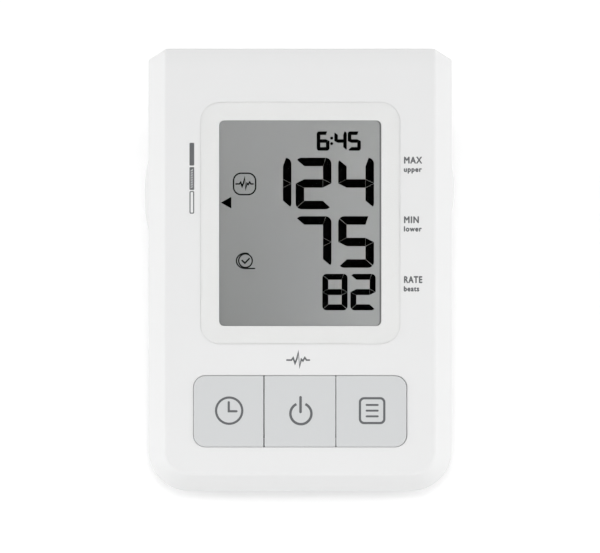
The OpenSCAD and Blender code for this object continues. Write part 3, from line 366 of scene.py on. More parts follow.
def circle(x, y, r, steps=48):
    turn = [2 * math.pi * i / steps for i in range(steps)]
    return [(x + r * math.cos(a), y + r * math.sin(a)) for a in turn]


def quarter(r, steps=6):
    """Inset and drop of the steps over an edge rounded by r, from its side to its top."""
    turn = [math.radians(90 * i / steps) for i in range(steps + 1)]
    return [(r * (1 - math.cos(a)), r * (1 - math.sin(a))) for a in turn]


def arc_band(x, y, r, w, start, end, steps=48):
    turn = [math.radians(start + (end - start) * i / steps) for i in range(steps + 1)]
    far, near = r + w / 2, r - w / 2
    out = [(x + far * math.cos(a), y + far * math.sin(a)) for a in turn]
    return out + [(x + near * math.cos(a), y + near * math.sin(a)) for a in reversed(turn)]


def stroke(points, w):
    """Outline of a line of even width through points, with mitred bends and round ends."""
    pts = [Vector(p) for p in points]
    left, right = [], []
    for before, p, after in zip(pts, pts[1:], pts[2:]):
        d0, d1 = (p - before).normalized(), (after - p).normalized()
        n0, n1 = Vector((-d0.y, d0.x)), Vector((-d1.y, d1.x))
        m = (n0 + n1).normalized()
        reach = w / 2 / max(0.35, m.dot(n0))
        left.append(tuple(p + m * reach))
        right.append(tuple(p - m * reach))
    caps = []
    for p, d in ((pts[-1], pts[-1] - pts[-2]), (pts[0], pts[0] - pts[1])):
        turn = [math.atan2(d.y, d.x) + math.pi / 2 - math.pi * k / 8 for k in range(9)]
        caps.append([(p.x + w / 2 * math.cos(a), p.y + w / 2 * math.sin(a)) for a in turn])
    return (left + caps[0] + right[::-1] + caps[1], )


def printed(name, shapes, n, mat, body):
    """Flat prints on a level n: each shape is an outline with the outlines of its holes."""
    points, faces = [], []
    for shape in shapes:
        loops = [list(loop) for loop in shape]
        flat = [p for loop in loops for p in loop]
        low = len(points)
        points += [(x, y, n) for x, y in flat] + [(x, y, n + INK_T) for x, y in flat]
        for tri in tessellate_polygon([[Vector((x, y, 0)) for x, y in loop] for loop in loops]):
            faces.append([low + i for i in tri])
            faces.append([low + len(flat) + i for i in reversed(tri)])
        start = 0
        for loop in loops:
            for i in range(len(loop)):
                a, b = low + start + i, low + start + (i + 1) % len(loop)
                faces.append([a, b, b + len(flat), a + len(flat)])
            start += len(loop)
    piece(name, points, faces, mat, body)


class Skin:
    """Points and faces of one closed shell."""

    def __init__(self):
        self.points, self.faces = [], []

    def loop(self, pts):
        low = len(self.points)
        self.points += [tuple(p) for p in pts]
        return list(range(low, low + len(pts)))

    def ring(self, pts, n):
        return self.loop([(x, y, n) for x, y in pts])

    def band(self, a, b, closed=True):
        for i in range(len(a) if closed else len(a) - 1):
            k = (i + 1) % len(a)
            self.faces.append([a[i], a[k], b[k], b[i]])

    def bands(self, loops):
        for a, b in zip(loops, loops[1:]):
            self.band(a, b)

    def fill(self, *loops, drop=2):
        """Flat faces inside the first loop and outside the others, seen along the axis to drop."""
        a, b = [k for k in range(3) if k != drop]
        flat = [i for loop in loops for i in loop]
        sides = []
        for loop in loops:
            sides.append([Vector((self.points[i][a], self.points[i][b], 0)) for i in loop])
        self.faces += [[flat[i] for i in tri] for tri in tessellate_polygon(sides)]


# Front cover
HALF_W, FRONT_U, BACK_U = 47.85, -69.4, 69.8
BEVEL_W, BEVEL_D, EDGE_R, FRONT_R = 5.65, 9.0, 1.5, 13.0
ROLL_LEN, ROLL_TURN = 7.5, math.radians(25)
ROLL_START = BACK_U - ROLL_LEN
ROLL_R = ROLL_LEN / math.sin(ROLL_TURN)
ROLL_DROP = ROLL_R * (1 - math.cos(ROLL_TURN))
# Lean of the back wall, depth of the seam under the face, and thickness of the walls
LEAN = math.radians(19)
SEAM, WALL, FACE_WALL = 12.0, 2.4, 2.6
# Fillet at the back, chamfer at the seam, and the length that a fillet's run-in takes
BACK_R, GROOVE, RUN_IN = 1.0, 0.25, 1.6
CORNER_STEPS, SIDE_STEPS, BACK_STEPS = 24, 14, 6
# Recess of the lens, its ledge, edges of both openings, and the bevel of the inner side
RECESS_N, RECESS_FIT, LEDGE_W = -1.5, 0.1, 4
LENS_EDGE, KEYS_EDGE = 0.06, 0.15
INNER_INSET, INNER_N = 6.51, -9.65
LENS_U, LENS_W, LENS_LEN, LENS_R = 14.9, 62.2, 75.4, 6.2
KEYS_U, KEYS_W, KEYS_LEN, KEYS_R = -43.9, 66.8, 22.4, 3.8


def roll_at(u):
    """Drop of the rolled end below the face."""
    return 0 if u <= ROLL_START else ROLL_R - math.sqrt(ROLL_R ** 2 - (u - ROLL_START) ** 2)


def back_u(n):
    """Place of the leaning back wall at a level."""
    return BACK_U + (n + ROLL_DROP) * math.tan(LEAN)


def rolled_back_u(n):
    """Place where a line that follows the roll meets the back wall."""
    u = BACK_U
    for _ in range(8):
        u = back_u(n - roll_at(min(u, ROLL_START + ROLL_R - 0.1)))
    return u


def rounding(corner, a, b, r, steps):
    """Arc that rounds the corner between the unit directions a and b."""
    corner, a, b = Vector(corner), Vector(a), Vector(b)
    half = math.acos(max(-1, min(1, a.dot(b)))) / 2
    centre = corner + (a + b).normalized() * (r / math.sin(half))
    start = corner + a * (r / math.tan(half)) - centre
    end = corner + b * (r / math.tan(half)) - centre
    return [centre + (start + (end - start) * i / steps).normalized() * r for i in range(steps + 1)]


def bevel_profile(steps):
    """Inset and level of the rings over the bevel, both its edges rounded."""
    size = math.hypot(BEVEL_W, BEVEL_D)
    along = Vector((-BEVEL_W / size, -BEVEL_D / size))
    return (rounding((BEVEL_W, 0), (1, 0), along, EDGE_R, steps)
            + rounding((0, -BEVEL_D), -along, (0, -1), EDGE_R, steps))


def half_curve(inset, n, rolled, side):
    """Half of a ring, from the middle of the front to the start of the back fillet's run-in."""
    half, front, r = HALF_W - inset, FRONT_U + inset, FRONT_R - inset
    pts = [(0.0, front)]
    for i in range(CORNER_STEPS + 1):
        a = math.radians(-90 + 90 * i / CORNER_STEPS)
        pts.append((half - r + r * math.cos(a), front + r + r * math.sin(a)))
    end = (rolled_back_u(n) if rolled else back_u(n)) - RUN_IN
    start = min(ROLL_START, end - 1)
    pts += [(half, start + (end - start) * i / SIDE_STEPS) for i in range(SIDE_STEPS + 1)]
    return [Vector((side * x, u, n - (roll_at(u) if rolled else 0))) for x, u in pts]


def back_fillet(corners, downs, k, side):
    """Rolling fillet between the shell and its back wall at ring k."""
    n_back = Vector((0, math.cos(LEAN), -math.sin(LEAN)))
    edge = (corners[min(k + 1, len(corners) - 1)] - corners[max(k - 1, 0)]).normalized()
    past = max(0, corners[k].y - ROLL_START)
    along = Vector((0, math.sqrt(ROLL_R ** 2 - past ** 2), -past)).normalized()
    out = along.cross(downs[k])
    out = out.normalized() * (1 if out.x * side + out.z > 0 else -1)
    a = out.cross(edge).normalized()
    a *= -1 if a.dot(n_back) > 0 else 1
    b = n_back.cross(edge).normalized()
    b *= -1 if b.dot(out) > 0 else 1
    return rounding(corners[k], a, b, BACK_R, BACK_STEPS)


def front_cover():
    """Bevelled shell with the lens recess, its ledge, the key window and its inner side."""
    skin = Skin()
    levels = [(p.x, p.y, True) for p in bevel_profile(9)]
    levels += [(0, -SEAM + GROOVE, False), (GROOVE, -SEAM, False)]
    rows = {}
    for side in (1, -1):
        curves = [half_curve(inset, n, rolled, side) for inset, n, rolled in levels]
        corners = []
        for inset, n, rolled in levels:
            u = rolled_back_u(n) if rolled else back_u(n)
            corners.append(Vector((side * (HALF_W - inset), u, n - (roll_at(u) if rolled else 0))))
        downs = []
        for k in range(len(levels)):
            a, b = levels[max(k - 1, 0)], levels[min(k + 1, len(levels) - 3)]
            if k == 0:
                d = Vector((side, 0, 0))
            elif k >= len(levels) - 3:
                d = Vector((0, 0, -1))
            else:
                d = Vector((side * (a[0] - b[0]), 0, b[1] - a[1])).normalized()
            downs.append(d)
        for k, curve in enumerate(curves):
            if k < len(levels) - 2:
                curve += back_fillet(corners, downs, k, side)
            else:
                corner = corners[k] - Vector((0, levels[k][0], 0))
                curve += rounding(corner, (0, -1, 0), (-side, 0, 0), BACK_R, BACK_STEPS)
        rows[side] = [skin.loop(curve) for curve in curves]
        for a, b in zip(rows[side], rows[side][1:]):
            skin.band(a, b, closed=False)
    right, left = rows[1], rows[-1]
    flat = CORNER_STEPS + 2  # where the face's edge begins to roll
    for i in range(flat, len(right[0]) - 1):
        skin.faces.append([right[0][i], right[0][i + 1], left[0][i + 1], left[0][i]])
    back = [row[-1] for row in reversed(right)] + [row[-1] for row in left]
    skin.fill(back, drop=1)

    def hole(u, w, length, r, fillet, low):
        """Edge and wall of an opening, from the face down to a level."""
        loops = []
        for drop, grow in quarter(fillet, 5):
            edge = round_rect(0, u, w + 2 * grow, length + 2 * grow, r + grow, 12)
            loops.append(skin.ring(edge, -drop))
        loops.append(skin.ring(round_rect(0, u, w, length, r, 12), low))
        skin.bands(loops)
        return loops[0], loops[-1]

    recess = hole(LENS_U, LENS_W + 2 * RECESS_FIT, LENS_LEN + 2 * RECESS_FIT, LENS_R + RECESS_FIT,
                  LENS_EDGE, RECESS_N)
    window = hole(KEYS_U, KEYS_W, KEYS_LEN, KEYS_R, KEYS_EDGE, -FACE_WALL)
    face_edge = right[0][:flat + 1] + list(reversed(left[0][1:flat + 1]))
    skin.fill(face_edge, recess[0], window[0])
    opening = round_rect(0, LENS_U, LENS_W - 2 * LEDGE_W, LENS_LEN - 2 * LEDGE_W,
                         LENS_R - LEDGE_W, 6)
    ledge, ledge_low = skin.ring(opening, RECESS_N), skin.ring(opening, -FACE_WALL)
    skin.fill(recess[1], ledge)
    skin.band(ledge, ledge_low)

    def inner(inset, n):
        """Ring of the inner side at a level."""
        half, r = HALF_W - inset, FRONT_R - inset
        pts = []
        for i in range(11):
            a = math.radians(-90 + 9 * i)
            pts.append((half - r + r * math.cos(a), FRONT_U + inset + r + r * math.sin(a)))
        pts.append((half, back_u(n) - WALL / math.cos(LEAN)))
        return skin.ring(pts + [(-x, y) for x, y in reversed(pts)], n)

    rings = [inner(INNER_INSET, -FACE_WALL), inner(WALL, INNER_N), inner(WALL, -SEAM)]
    skin.bands(rings)
    skin.fill(rings[0], ledge_low, window[1])
    seam = right[-1] + list(reversed(left[-1][1:]))
    skin.fill(seam, rings[2])
    piece("front_cover_skin", skin.points, skin.faces, shell, "housing",
          stands_for=("front_cover", ), smooth=28)


front_cover()


# Display window: clear plate, printed border under it, and what the panel shows
PLATE_LOW, PLATE_TOP, PLATE_EDGE = -1.26, 0.2, 0.15
PLATE_SIZE = LENS_W + 0.15, LENS_LEN + 0.15, LENS_R + 0.07
BORDER_SIZE = LENS_W + 0.16, LENS_LEN + 0.16, LENS_R + 0.08
WINDOW_U, WINDOW_W, WINDOW_LEN, WINDOW_R = 14.88, 50.7, 64.3, 1.6
RIM_N, DISH_N, BORDER_T = -0.25, -1.27, 0.025
PANEL_N = -1.6
SHOWN_N = PANEL_N + 0.01


def display_window():
    """Clear plate with a soft upper edge."""
    skin = Skin()
    w, length, r = PLATE_SIZE
    loops = [skin.ring(round_rect(0, LENS_U, w, length, r, 12), PLATE_LOW)]
    for inset, drop in quarter(PLATE_EDGE):
        edge = round_rect(0, LENS_U, w - 2 * inset, length - 2 * inset, r - inset, 12)
        loops.append(skin.ring(edge, PLATE_TOP - drop))
    skin.bands(loops)
    skin.fill(loops[0])
    skin.fill(loops[-1])
    piece("display_window", skin.points, skin.faces, lens_mat, "housing",
          stands_for=("display_lens", ), smooth=30)


display_window()


def window_border():
    """Printed border of the window, highest at the rim and dished towards the panel."""
    skin = Skin()
    outer = round_rect(0, LENS_U, *BORDER_SIZE, 12)
    inside = round_rect(0, WINDOW_U, WINDOW_W, WINDOW_LEN, WINDOW_R, 12)
    rows = [(outer, RIM_N - BORDER_T), (outer, RIM_N),
            (inside, DISH_N), (inside, DISH_N - BORDER_T)]
    loops = [skin.ring(pts, n) for pts, n in rows]
    skin.bands(loops + loops[:1])
    piece("window_border", skin.points, skin.faces, mask, "housing", smooth=30)


window_border()

# Digits: corner radius and end of the top bar as shares of the stroke, gap between segments,
# angles where round corners are cut, half the gap there, and the segments of each sign
CORNER, TOP_END, GAP = 0.72, 0.66, 0.042
TOP_CUT, RIGHT_CUT, LEFT_CUT = 143.25, -39, 220.5
TOP_GAP, RIGHT_GAP, LEFT_GAP = 1.75, 3, 1.5
ON = {"1": "bc", "2": "abged", "4": "fgbc", "5": "afgcd", "6": "afgedc", "7": "abc", "8": "abcdefg"}


def digit(sign, x, y, w, h, t, split=1):
    """Segments of a seven-segment digit whose lower left corner is at x, y.

    The strokes are t wide, and split scales the gaps between them.
    """
    g, m, r = GAP * split, h / 2, CORNER * t

    def turn(cx, cy, start, end):
        angles = [math.radians(start + (end - start) * i / 5) for i in range(6)]
        return [(cx + r * math.cos(a), cy + r * math.sin(a)) for a in angles]

    shapes = {
        "a": turn(r, h - r, TOP_CUT - TOP_GAP * split, 90) + [
            (w - TOP_END * t, h), (w - t, h - t), (t + g, h - t)],
        "b": [(w - TOP_END * t + 2 * g, h)] + turn(w - r, h - r, 78, 0) + [
            (w, m + g), (w - t, m + t / 2 + g), (w - t, h - t - g)],
        "c": [(w - t, m - t / 2 - g), (w, m - g)] + turn(
            w - r, r, 0, RIGHT_CUT + RIGHT_GAP * split) + [(w - t, t + g)],
        "d": [(t + g, t), (w - t - g, t)] + turn(
            w - r, r, RIGHT_CUT - RIGHT_GAP * split, -90) + turn(
            r, r, 270, LEFT_CUT + LEFT_GAP * split),
        "e": [(0, m - g), (t, m - t / 2 - g), (t, t + g)] + turn(
            r, r, LEFT_CUT - LEFT_GAP * split, 180),
        "f": [(0, m + g)] + turn(r, h - r, 180, TOP_CUT + TOP_GAP * split) + [
            (t, h - t - g), (t, m + t / 2 + g)],
        "g": [(g, m), (t, m + t / 2), (w - t - g, m + t / 2), (w - t - g, m - t / 2),
              (t, m - t / 2)],
        "k": [(w - t, m + t / 2 - g), (w - g, m), (w - t, m - t / 2 + g)],
    }
    return [([(x + px, y + py) for px, py in shapes[s]], ) for s in ON[sign] + "k"]


COLON_X, COLON_R = 9.84, 0.48
TIME_U, TIME_H, TIME_T, TIME_SPLIT = 37.58, 6.04, 1.12, 0.1
LARGE, SMALL = (11.2, 16.14, 2.66), (7.91, 11.41, 1.86)
readings = [(circle(COLON_X, u, COLON_R, 16), ) for u in (41.51, 39.79)]
for sign, x, w in (("6", 5.17, 4.0), ("4", 10.67, 3.91), ("5", 14.88, 4.1)):
    readings += digit(sign, x, TIME_U, w, TIME_H, TIME_T, TIME_SPLIT)
for signs, places, u, size in (("124", (-13.95, -1.42, 11.89), 19.25, LARGE),
                               ("75", (-1.42, 11.89), 0.94, LARGE),
                               ("82", (6.92, 15.7), -12.36, SMALL)):
    for sign, x in zip(signs, places):
        readings += digit(sign, x, u, *size)
POINTER = [(-24.84, 21.33), (-21.75, 19.58), (-21.55, 19.7), (-21.55, 22.96), (-21.75, 23.08)]
printed("panel_segments", readings + [(POINTER, )], SHOWN_N, segment_ink, "housing")

# Signs on the panel: a pulse in a rounded frame, and a tick in a ring with a tail
PULSE = [(-2.7, 0), (-1.6, 0), (-1.2, 0.55), (-0.75, -0.75), (-0.3, 0.35), (0.05, 1.95),
         (0.35, -1.6), (0.75, 0.2), (1.15, -0.2), (1.6, 0.6), (2.0, 0), (2.7, 0)]
FRAME_X, FRAME_U, RING_X, RING_U = -17.4, 27.17, -17.12, 3.15
tail = [(-17.2 + 2.75 * math.cos(math.radians(a)), 3.12 + 2.4 * math.sin(math.radians(a)))
        for a in range(70, 271, 10)] + [(-14.25, 0.72)]
signs = [(round_rect(FRAME_X, FRAME_U, 7.35, 7.15, 2.6, 10),
          round_rect(FRAME_X, FRAME_U, 6.47, 6.27, 2.16, 10)),
         stroke([(FRAME_X - 0.02 + x, FRAME_U + y) for x, y in PULSE], 0.45),
         (circle(RING_X, RING_U, 2.33), circle(RING_X, RING_U, 1.92)),
         stroke(tail, 0.4),
         stroke([(-18.15, 3.2), (-17.3, 2.42), (-15.95, 3.8)], 0.5)]
printed("panel_signs", signs, SHOWN_N, sign_ink, "housing")

# Painted shadow: a dark line along the panel's right edge, standing in for the shade that the
# recessed border casts on the panel
EDGE_LINE = 0.62
edge = [p for p in round_rect(0, WINDOW_U, WINDOW_W + 0.2, WINDOW_LEN + 0.2, 1.7, 8) if p[0] > 20]
back = [(x - EDGE_LINE, y) for x, y in reversed(edge)]
printed("panel_edge_shadow", [(edge + back, )], SHOWN_N, painted_edge_shadow, "housing")

# Prints on the face: a full, a hatched and an empty bar, and a pulse line over the keys
INK_LIFT = 0.003
BAR_X, BAR_W, BAR_LEN = -33.85, 1.46, 7.1
HATCH_U, HATCH_STEP, HATCH_HALF = 26.15, 0.747, 0.38
hatch = []
for i in range(8):
    u, left, right = HATCH_U + i * HATCH_STEP, BAR_X - HATCH_HALF, BAR_X + HATCH_HALF
    hatch.append([(left, u - 0.37), (right, u + 0.09), (right, u + 0.37), (left, u - 0.09)])
bars = [(round_rect(BAR_X, 36.42, BAR_W, BAR_LEN, 0.25, 4), ),
        (round_rect(BAR_X, 28.83, BAR_W, BAR_LEN, 0.25, 4), *hatch),
        (round_rect(BAR_X, 21.38, BAR_W, BAR_LEN, 0.45, 6),
         round_rect(BAR_X, 21.38, 0.8, 6.44, 0.2, 6))]
PULSE_X, PULSE_U, PULSE_SCALE = -0.64, -27.9, 1.3
pulse = [(PULSE_X + PULSE_SCALE * x, PULSE_U + PULSE_SCALE * y) for x, y in PULSE]
printed("face_prints", bars + [stroke(pulse, 0.5)], INK_LIFT, ink, "housing")

# Words beside the rows: text, place, height of the capitals and stretch
WORDS = (("MAX", 33.57, 2.12, 0.84), ("upper", 30.95, 1.6, 0.94),
         ("MIN", 14.95, 2.12, 0.84), ("lower", 12.35, 1.6, 0.94),
         ("RATE", -3.75, 2.12, 0.76), ("beats", -6.35, 1.6, 0.9))
WORD_X, CAPS_SHARE, SPACING, BOLD, LETTER_WELD = 32.35, 0.729, 1.16, 0.115, 1e-5
LAYER_N, LAYER_STEP, LAYER_HALF = 0.012, 0.001, 0.0004


def word(text, x, u, height, wide):
    """Points and faces of a word in plain letters, made bold by five thin layers."""
    curve = bpy.data.curves.new("word", "FONT")
    curve.body = text
    curve.size = height / CAPS_SHARE
    curve.space_character = SPACING
    curve.resolution_u = 4
    curve.extrude = LAYER_HALF
    holder = bpy.data.objects.new("word", curve)
    bpy.context.collection.objects.link(holder)
    ready = holder.evaluated_get(bpy.context.evaluated_depsgraph_get())
    mesh = bpy.data.meshes.new_from_object(ready)
    bm = bmesh.new()
    bm.from_mesh(mesh)
    bmesh.ops.remove_doubles(bm, verts=bm.verts, dist=LETTER_WELD)
    bm.verts.index_update()
    points, faces = [], []
    for k, (dx, dy) in enumerate(((0, 0), (BOLD, 0), (-BOLD, 0), (0, BOLD), (0, -BOLD))):
        n = LAYER_N + LAYER_STEP * k
        faces += [[len(points) + v.index for v in f.verts] for f in bm.faces]
        points += [(wide * v.co.x + dx + x, v.co.y + dy + u, v.co.z + n) for v in bm.verts]
    bm.free()
    bpy.data.objects.remove(holder)
    bpy.data.curves.remove(curve)
    bpy.data.meshes.remove(mesh)
    return points, faces


letters = Skin()
for text, u, height, wide in WORDS:
    points, faces = word(text, WORD_X, u, height, wide)
    low = len(letters.points)
    letters.points += points
    letters.faces += [[low + i for i in f] for f in faces]
piece("row_words", letters.points, letters.faces, ink, "housing")


# Keys: soft caps with their flange and post, and a print on each
KEY_TOP, KEY_EDGE, KEY_FIT = 0.4, 0.3, 0.1
FLANGE, FLANGE_LOW, FLANGE_TOP = 1.2, -3.7, -2.7
POST_R, POST_LOW = 2.5, -3.9
INNER_R, LEAST_R = 0.35, 0.08
PITCH = KEYS_W / 3
# Left and right end of each key
KEY_ENDS = {-1: (-33.39, -11.455), 0: (-11.175, 11.045), 1: (11.225, 33.31)}


def key_outline(i, grow, steps=8):
    """Outline of a key, with the block's round corners at its outer ends."""
    half, r = KEYS_LEN / 2 + grow, KEYS_R + grow
    left, right = KEY_ENDS[i]
    left -= grow if i == -1 else min(grow + KEY_FIT, 0)
    right += grow if i == 1 else min(grow + KEY_FIT, 0)
    small = max(LEAST_R, INNER_R + min(grow + KEY_FIT, 0))
    pts = []
    for sx, sy, start in CORNERS:
        rr = r if sx == i else small
        cx = (right if sx > 0 else left) - sx * rr
        for k in range(steps + 1):
            a = math.radians(start + 90 * k / steps)
            pts.append((cx + rr * math.cos(a), KEYS_U + sy * (half - rr) + rr * math.sin(a)))
    return pts


def key_cap(name, i, body):
    """Cap of a key with a soft edge, its flange under the face and its post."""
    skin = Skin()
    rows = [(FLANGE, FLANGE_LOW), (FLANGE, FLANGE_TOP), (-KEY_FIT, FLANGE_TOP)]
    rows += [(-KEY_FIT - inset, KEY_TOP - drop) for inset, drop in quarter(KEY_EDGE)]
    loops = [skin.ring(key_outline(i, grow), n) for grow, n in rows]
    skin.bands(loops)
    skin.fill(loops[-1])
    post = [skin.ring(circle(i * PITCH, KEYS_U, POST_R, 32), n) for n in (FLANGE_LOW, POST_LOW)]
    skin.fill(loops[0], post[0])
    skin.band(post[0], post[1])
    skin.fill(post[1])
    piece(name + "_cap", skin.points, skin.faces, key_mat, body,
          stands_for=(name, ), smooth=32)


key_cap("key_time", -1, "time_key")
key_cap("key_power", 0, "power_key")
key_cap("key_memory", 1, "memory_key")

PRINT_N = KEY_TOP + INK_LIFT
LINE, SIGN_U = 0.7, -43.68
CLOCK_X, CLOCK_R = -22.18, 4.44
LIST_X, LIST_W, LIST_LEN = 22.46, 8.3, 8.44
clock = [(circle(CLOCK_X, SIGN_U, CLOCK_R, 72), circle(CLOCK_X, SIGN_U, CLOCK_R - LINE, 72)),
         stroke([(-22.31, -41.05), (-22.31, -43.87), (-19.9, -43.87)], LINE)]
power = [(arc_band(0.22, -44.62, 3.28, 0.78, 115, 425, 64), ),
         stroke([(0.11, -39.5), (0.11, -44.1)], 0.8)]
lines = [(round_rect(LIST_X, SIGN_U, LIST_W, LIST_LEN, 1.6, 8),
          round_rect(LIST_X, SIGN_U, LIST_W - 2 * LINE, LIST_LEN - 2 * LINE, 1.0, 8))]
lines += [stroke([(20.75, u), (24.2, u)], 0.62) for u in (-41.9, SIGN_U, -45.46)]
printed("time_sign", clock, PRINT_N, ink, "time_key")
printed("power_sign", power, PRINT_N, ink, "power_key")
printed("memory_sign", lines, PRINT_N, ink, "memory_key")


# Soft and wound pieces: hoses, springs, feet and foam
def tube(name, routes, r, bore, mat, body, stands_for, sides=20):
    """Round hoses or wires along routes of points, hollow where a bore is given."""
    skin = Skin()
    turn = [2 * math.pi * k / sides for k in range(sides)]
    for route, up in routes:
        pts = [Vector(p) for p in route]

        def rings(radius):
            loops = []
            for i, p in enumerate(pts):
                along = pts[min(i + 1, len(pts) - 1)] - pts[max(i - 1, 0)]
                side = along.cross(Vector(up)).normalized()
                away = along.cross(side).normalized()
                loops.append(skin.loop([p + radius * (side * math.cos(a) + away * math.sin(a))
                                        for a in turn]))
            skin.bands(loops)
            return loops[0], loops[-1]

        outer = rings(r)
        if bore:
            within = rings(bore)
            skin.band(outer[0], within[0])
            skin.band(outer[1], within[1])
        else:
            skin.faces += [list(outer[0]), list(outer[1])]
    piece(name, skin.points, skin.faces, mat, body, WORLD, stands_for, smooth=40)


# Hoses from the cross to the pump, the cuff's socket and the valve, and a bent one up to the sensor
HOSE_R, HOSE_BORE, ARM, PULL = 2.7, 1.75, 3.1, 0.42
CROSS = Vector((-36.95, 49.1394, 24.6549))
PUMP_X, SOCKET_Y, VALVE_Z = -26.65, 34.657, 15.0
SENSOR_PORT, CROSS_PORT = Vector((-32.2, 44.8391, 42.4048)), Vector((-36.95, 49.1394, 27.7549))


def straight(a, b, steps=6):
    return [Vector(a).lerp(Vector(b), i / steps) for i in range(steps + 1)]


def bend(a, down, b, up, steps=24):
    """Smooth curve that leaves a along down and reaches b from above, along up."""
    pull = PULL * (a - b).length
    pts = []
    for i in range(steps + 1):
        t = i / steps
        pts.append((1 - t) ** 3 * a + 3 * t * (1 - t) ** 2 * (a + pull * down)
                   + 3 * t * t * (1 - t) * (b + pull * up) + t ** 3 * b)
    return pts


down, up = Vector((0, math.sin(TILT), -math.cos(TILT))), Vector((0, 0, 1))
sensor_hose = bend(SENSOR_PORT + 3 * down, down, CROSS_PORT + 3.5 * up, up)
tube("air_hose_set", [
    (straight((CROSS.x + ARM, CROSS.y, CROSS.z), (PUMP_X, CROSS.y, CROSS.z)), (0, 0, 1)),
    (straight((CROSS.x, SOCKET_Y, CROSS.z), (CROSS.x, CROSS.y - ARM, CROSS.z)), (0, 0, 1)),
    (straight((CROSS.x, CROSS.y, VALVE_Z), (CROSS.x, CROSS.y, CROSS.z - ARM)), (1, 0, 0)),
    ([SENSOR_PORT] + sensor_hose + [CROSS_PORT], (1, 0, 0)),
], HOSE_R, HOSE_BORE, hose_mat, "housing", ("air_hoses", ))

# Conical cell springs, turned about from cell to cell
SPRING_LO, SPRING_HI, SPRING_TURNS, SPRING_STEPS = 0.45, 4.55, 4, 96
SPRING_R, SPRING_TAPER, WIRE_R, SPRING_SEAT = 4.9, 1.8, 0.35, 0.1
springs = []
box_lo, box_hi = (Vector(c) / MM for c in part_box("battery_springs"))
mid_z = (box_lo.z + box_hi.z) / 2
for i in range(4):
    sign = 1 if i % 2 == 0 else -1
    base = box_lo.y - SPRING_SEAT if sign == 1 else box_hi.y + SPRING_SEAT
    x, route = (i - 1.5) * CELL_PITCH / MM, []
    for k in range(SPRING_STEPS + 1):
        t = k / SPRING_STEPS
        r, a = SPRING_R - SPRING_TAPER * t, 2 * math.pi * SPRING_TURNS * t
        y = SPRING_LO + (SPRING_HI - SPRING_LO) * t
        route.append((x + sign * r * math.cos(a), base + sign * y, mid_z + r * math.sin(a)))
    springs.append((route, (0, 1, 0)))
tube("cell_spring_set", springs, WIRE_R, 0, wire, "housing",
     ("battery_springs", ), 10)

# Feet: rounding of the rim, and the dish as shares of a foot's radius with their rise
FOOT_RIM = 0.6
FOOT_DISH = ((0.66, 0), (0.58, 0.1), (0.5, 0.3), (0.1, 0.35))


def foot_set():
    """Moulded feet with a rounded rim and a shallow dish."""
    skin = Skin()
    corners = [v.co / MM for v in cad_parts["rubber_feet"].data.vertices]
    for sx in (1, -1):
        for sy in (1, -1):
            own = [v for v in corners if v.x * sx > 0 and v.y * sy > 0]
            lo, hi = (Vector([pick(v[k] for v in own) for k in range(3)]) for pick in (min, max))
            x, y, r = (lo.x + hi.x) / 2, (lo.y + hi.y) / 2, (hi.x - lo.x) / 2
            rows = [(r, hi.z)]
            rows += [(r - inset, lo.z + drop) for inset, drop in quarter(FOOT_RIM)]
            rows += [(share * r, lo.z + rise) for share, rise in FOOT_DISH]
            loops = [skin.ring(circle(x, y, radius, 40), z) for radius, z in rows]
            skin.bands(loops)
            skin.fill(loops[0])
            skin.fill(loops[-1])
    piece("foot_set", skin.points, skin.faces, feet, "housing", WORLD,
          ("rubber_feet", ), 35)


foot_set()

FOAM_SHRINK, FOAM_ROUND, FOAM_FILL = 0.995, 0.0003, 0.9


def foam_pad():
    """Foam pad between the pump's sleeve and the board, with soft edges."""
    lo, hi = (Vector(c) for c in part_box("pump_pad"))
    mesh = bpy.data.meshes.new("pump_pad_foam")
    bm = bmesh.new()
    bm.from_mesh(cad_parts["pump_pad"].data)
    bmesh.ops.remove_doubles(bm, verts=bm.verts, dist=CAD_WELD)
    bmesh.ops.dissolve_limit(bm, angle_limit=0.02, verts=bm.verts, edges=bm.edges)
    bmesh.ops.subdivide_edges(bm, edges=bm.edges, cuts=5, use_grid_fill=True)
    centre = (lo + hi) / 2
    for v in bm.verts:
        v.co = centre + (v.co - centre) * FOAM_SHRINK
    bm.to_mesh(mesh)
    bm.free()
    obj = dress("pump_pad_foam", mesh, foam, "housing", ("pump_pad", ))
    mesh.shade_smooth()
    bevel = obj.modifiers.new("soft", "BEVEL")
    bevel.width = FOAM_ROUND
    bevel.segments = 3


foam_pad()


# Carried CAD nodes: finish, and smooth normals where facets follow a curve
SMOOTH_BELOW = math.radians(26)


def smoother():
    """Geometry nodes that weld the facets and shade them smooth below an edge angle."""
    group = bpy.data.node_groups.new("smooth_by_angle", "GeometryNodeTree")
    group.interface.new_socket("Geometry", in_out="INPUT", socket_type="NodeSocketGeometry")
    group.interface.new_socket("Geometry", in_out="OUTPUT", socket_type="NodeSocketGeometry")
    new = group.nodes.new
    start, end = new("NodeGroupInput"), new("NodeGroupOutput")
    weld = new("GeometryNodeMergeByDistance")
    weld.inputs["Distance"].default_value = CAD_WELD
    drop = new("GeometryNodeRemoveAttribute")
    drop.inputs["Name"].default_value = "custom_normal"
    faces, edges = new("GeometryNodeSetShadeSmooth"), new("GeometryNodeSetShadeSmooth")
    faces.domain, edges.domain = "FACE", "EDGE"
    angle = new("GeometryNodeInputMeshEdgeAngle")
    shallow = new("FunctionNodeCompare")
    shallow.operation = "LESS_THAN"
    shallow.inputs[1].default_value = SMOOTH_BELOW
    link = group.links.new
    link(start.outputs[0], weld.inputs["Geometry"])
    link(weld.outputs[0], drop.inputs["Geometry"])
    link(drop.outputs[0], faces.inputs["Geometry"])
    link(faces.outputs[0], edges.inputs["Geometry"])
    link(angle.outputs["Unsigned Angle"], shallow.inputs[0])
    link(shallow.outputs[0], edges.inputs["Shade Smooth"])
    link(edges.outputs[0], end.inputs[0])
    return group


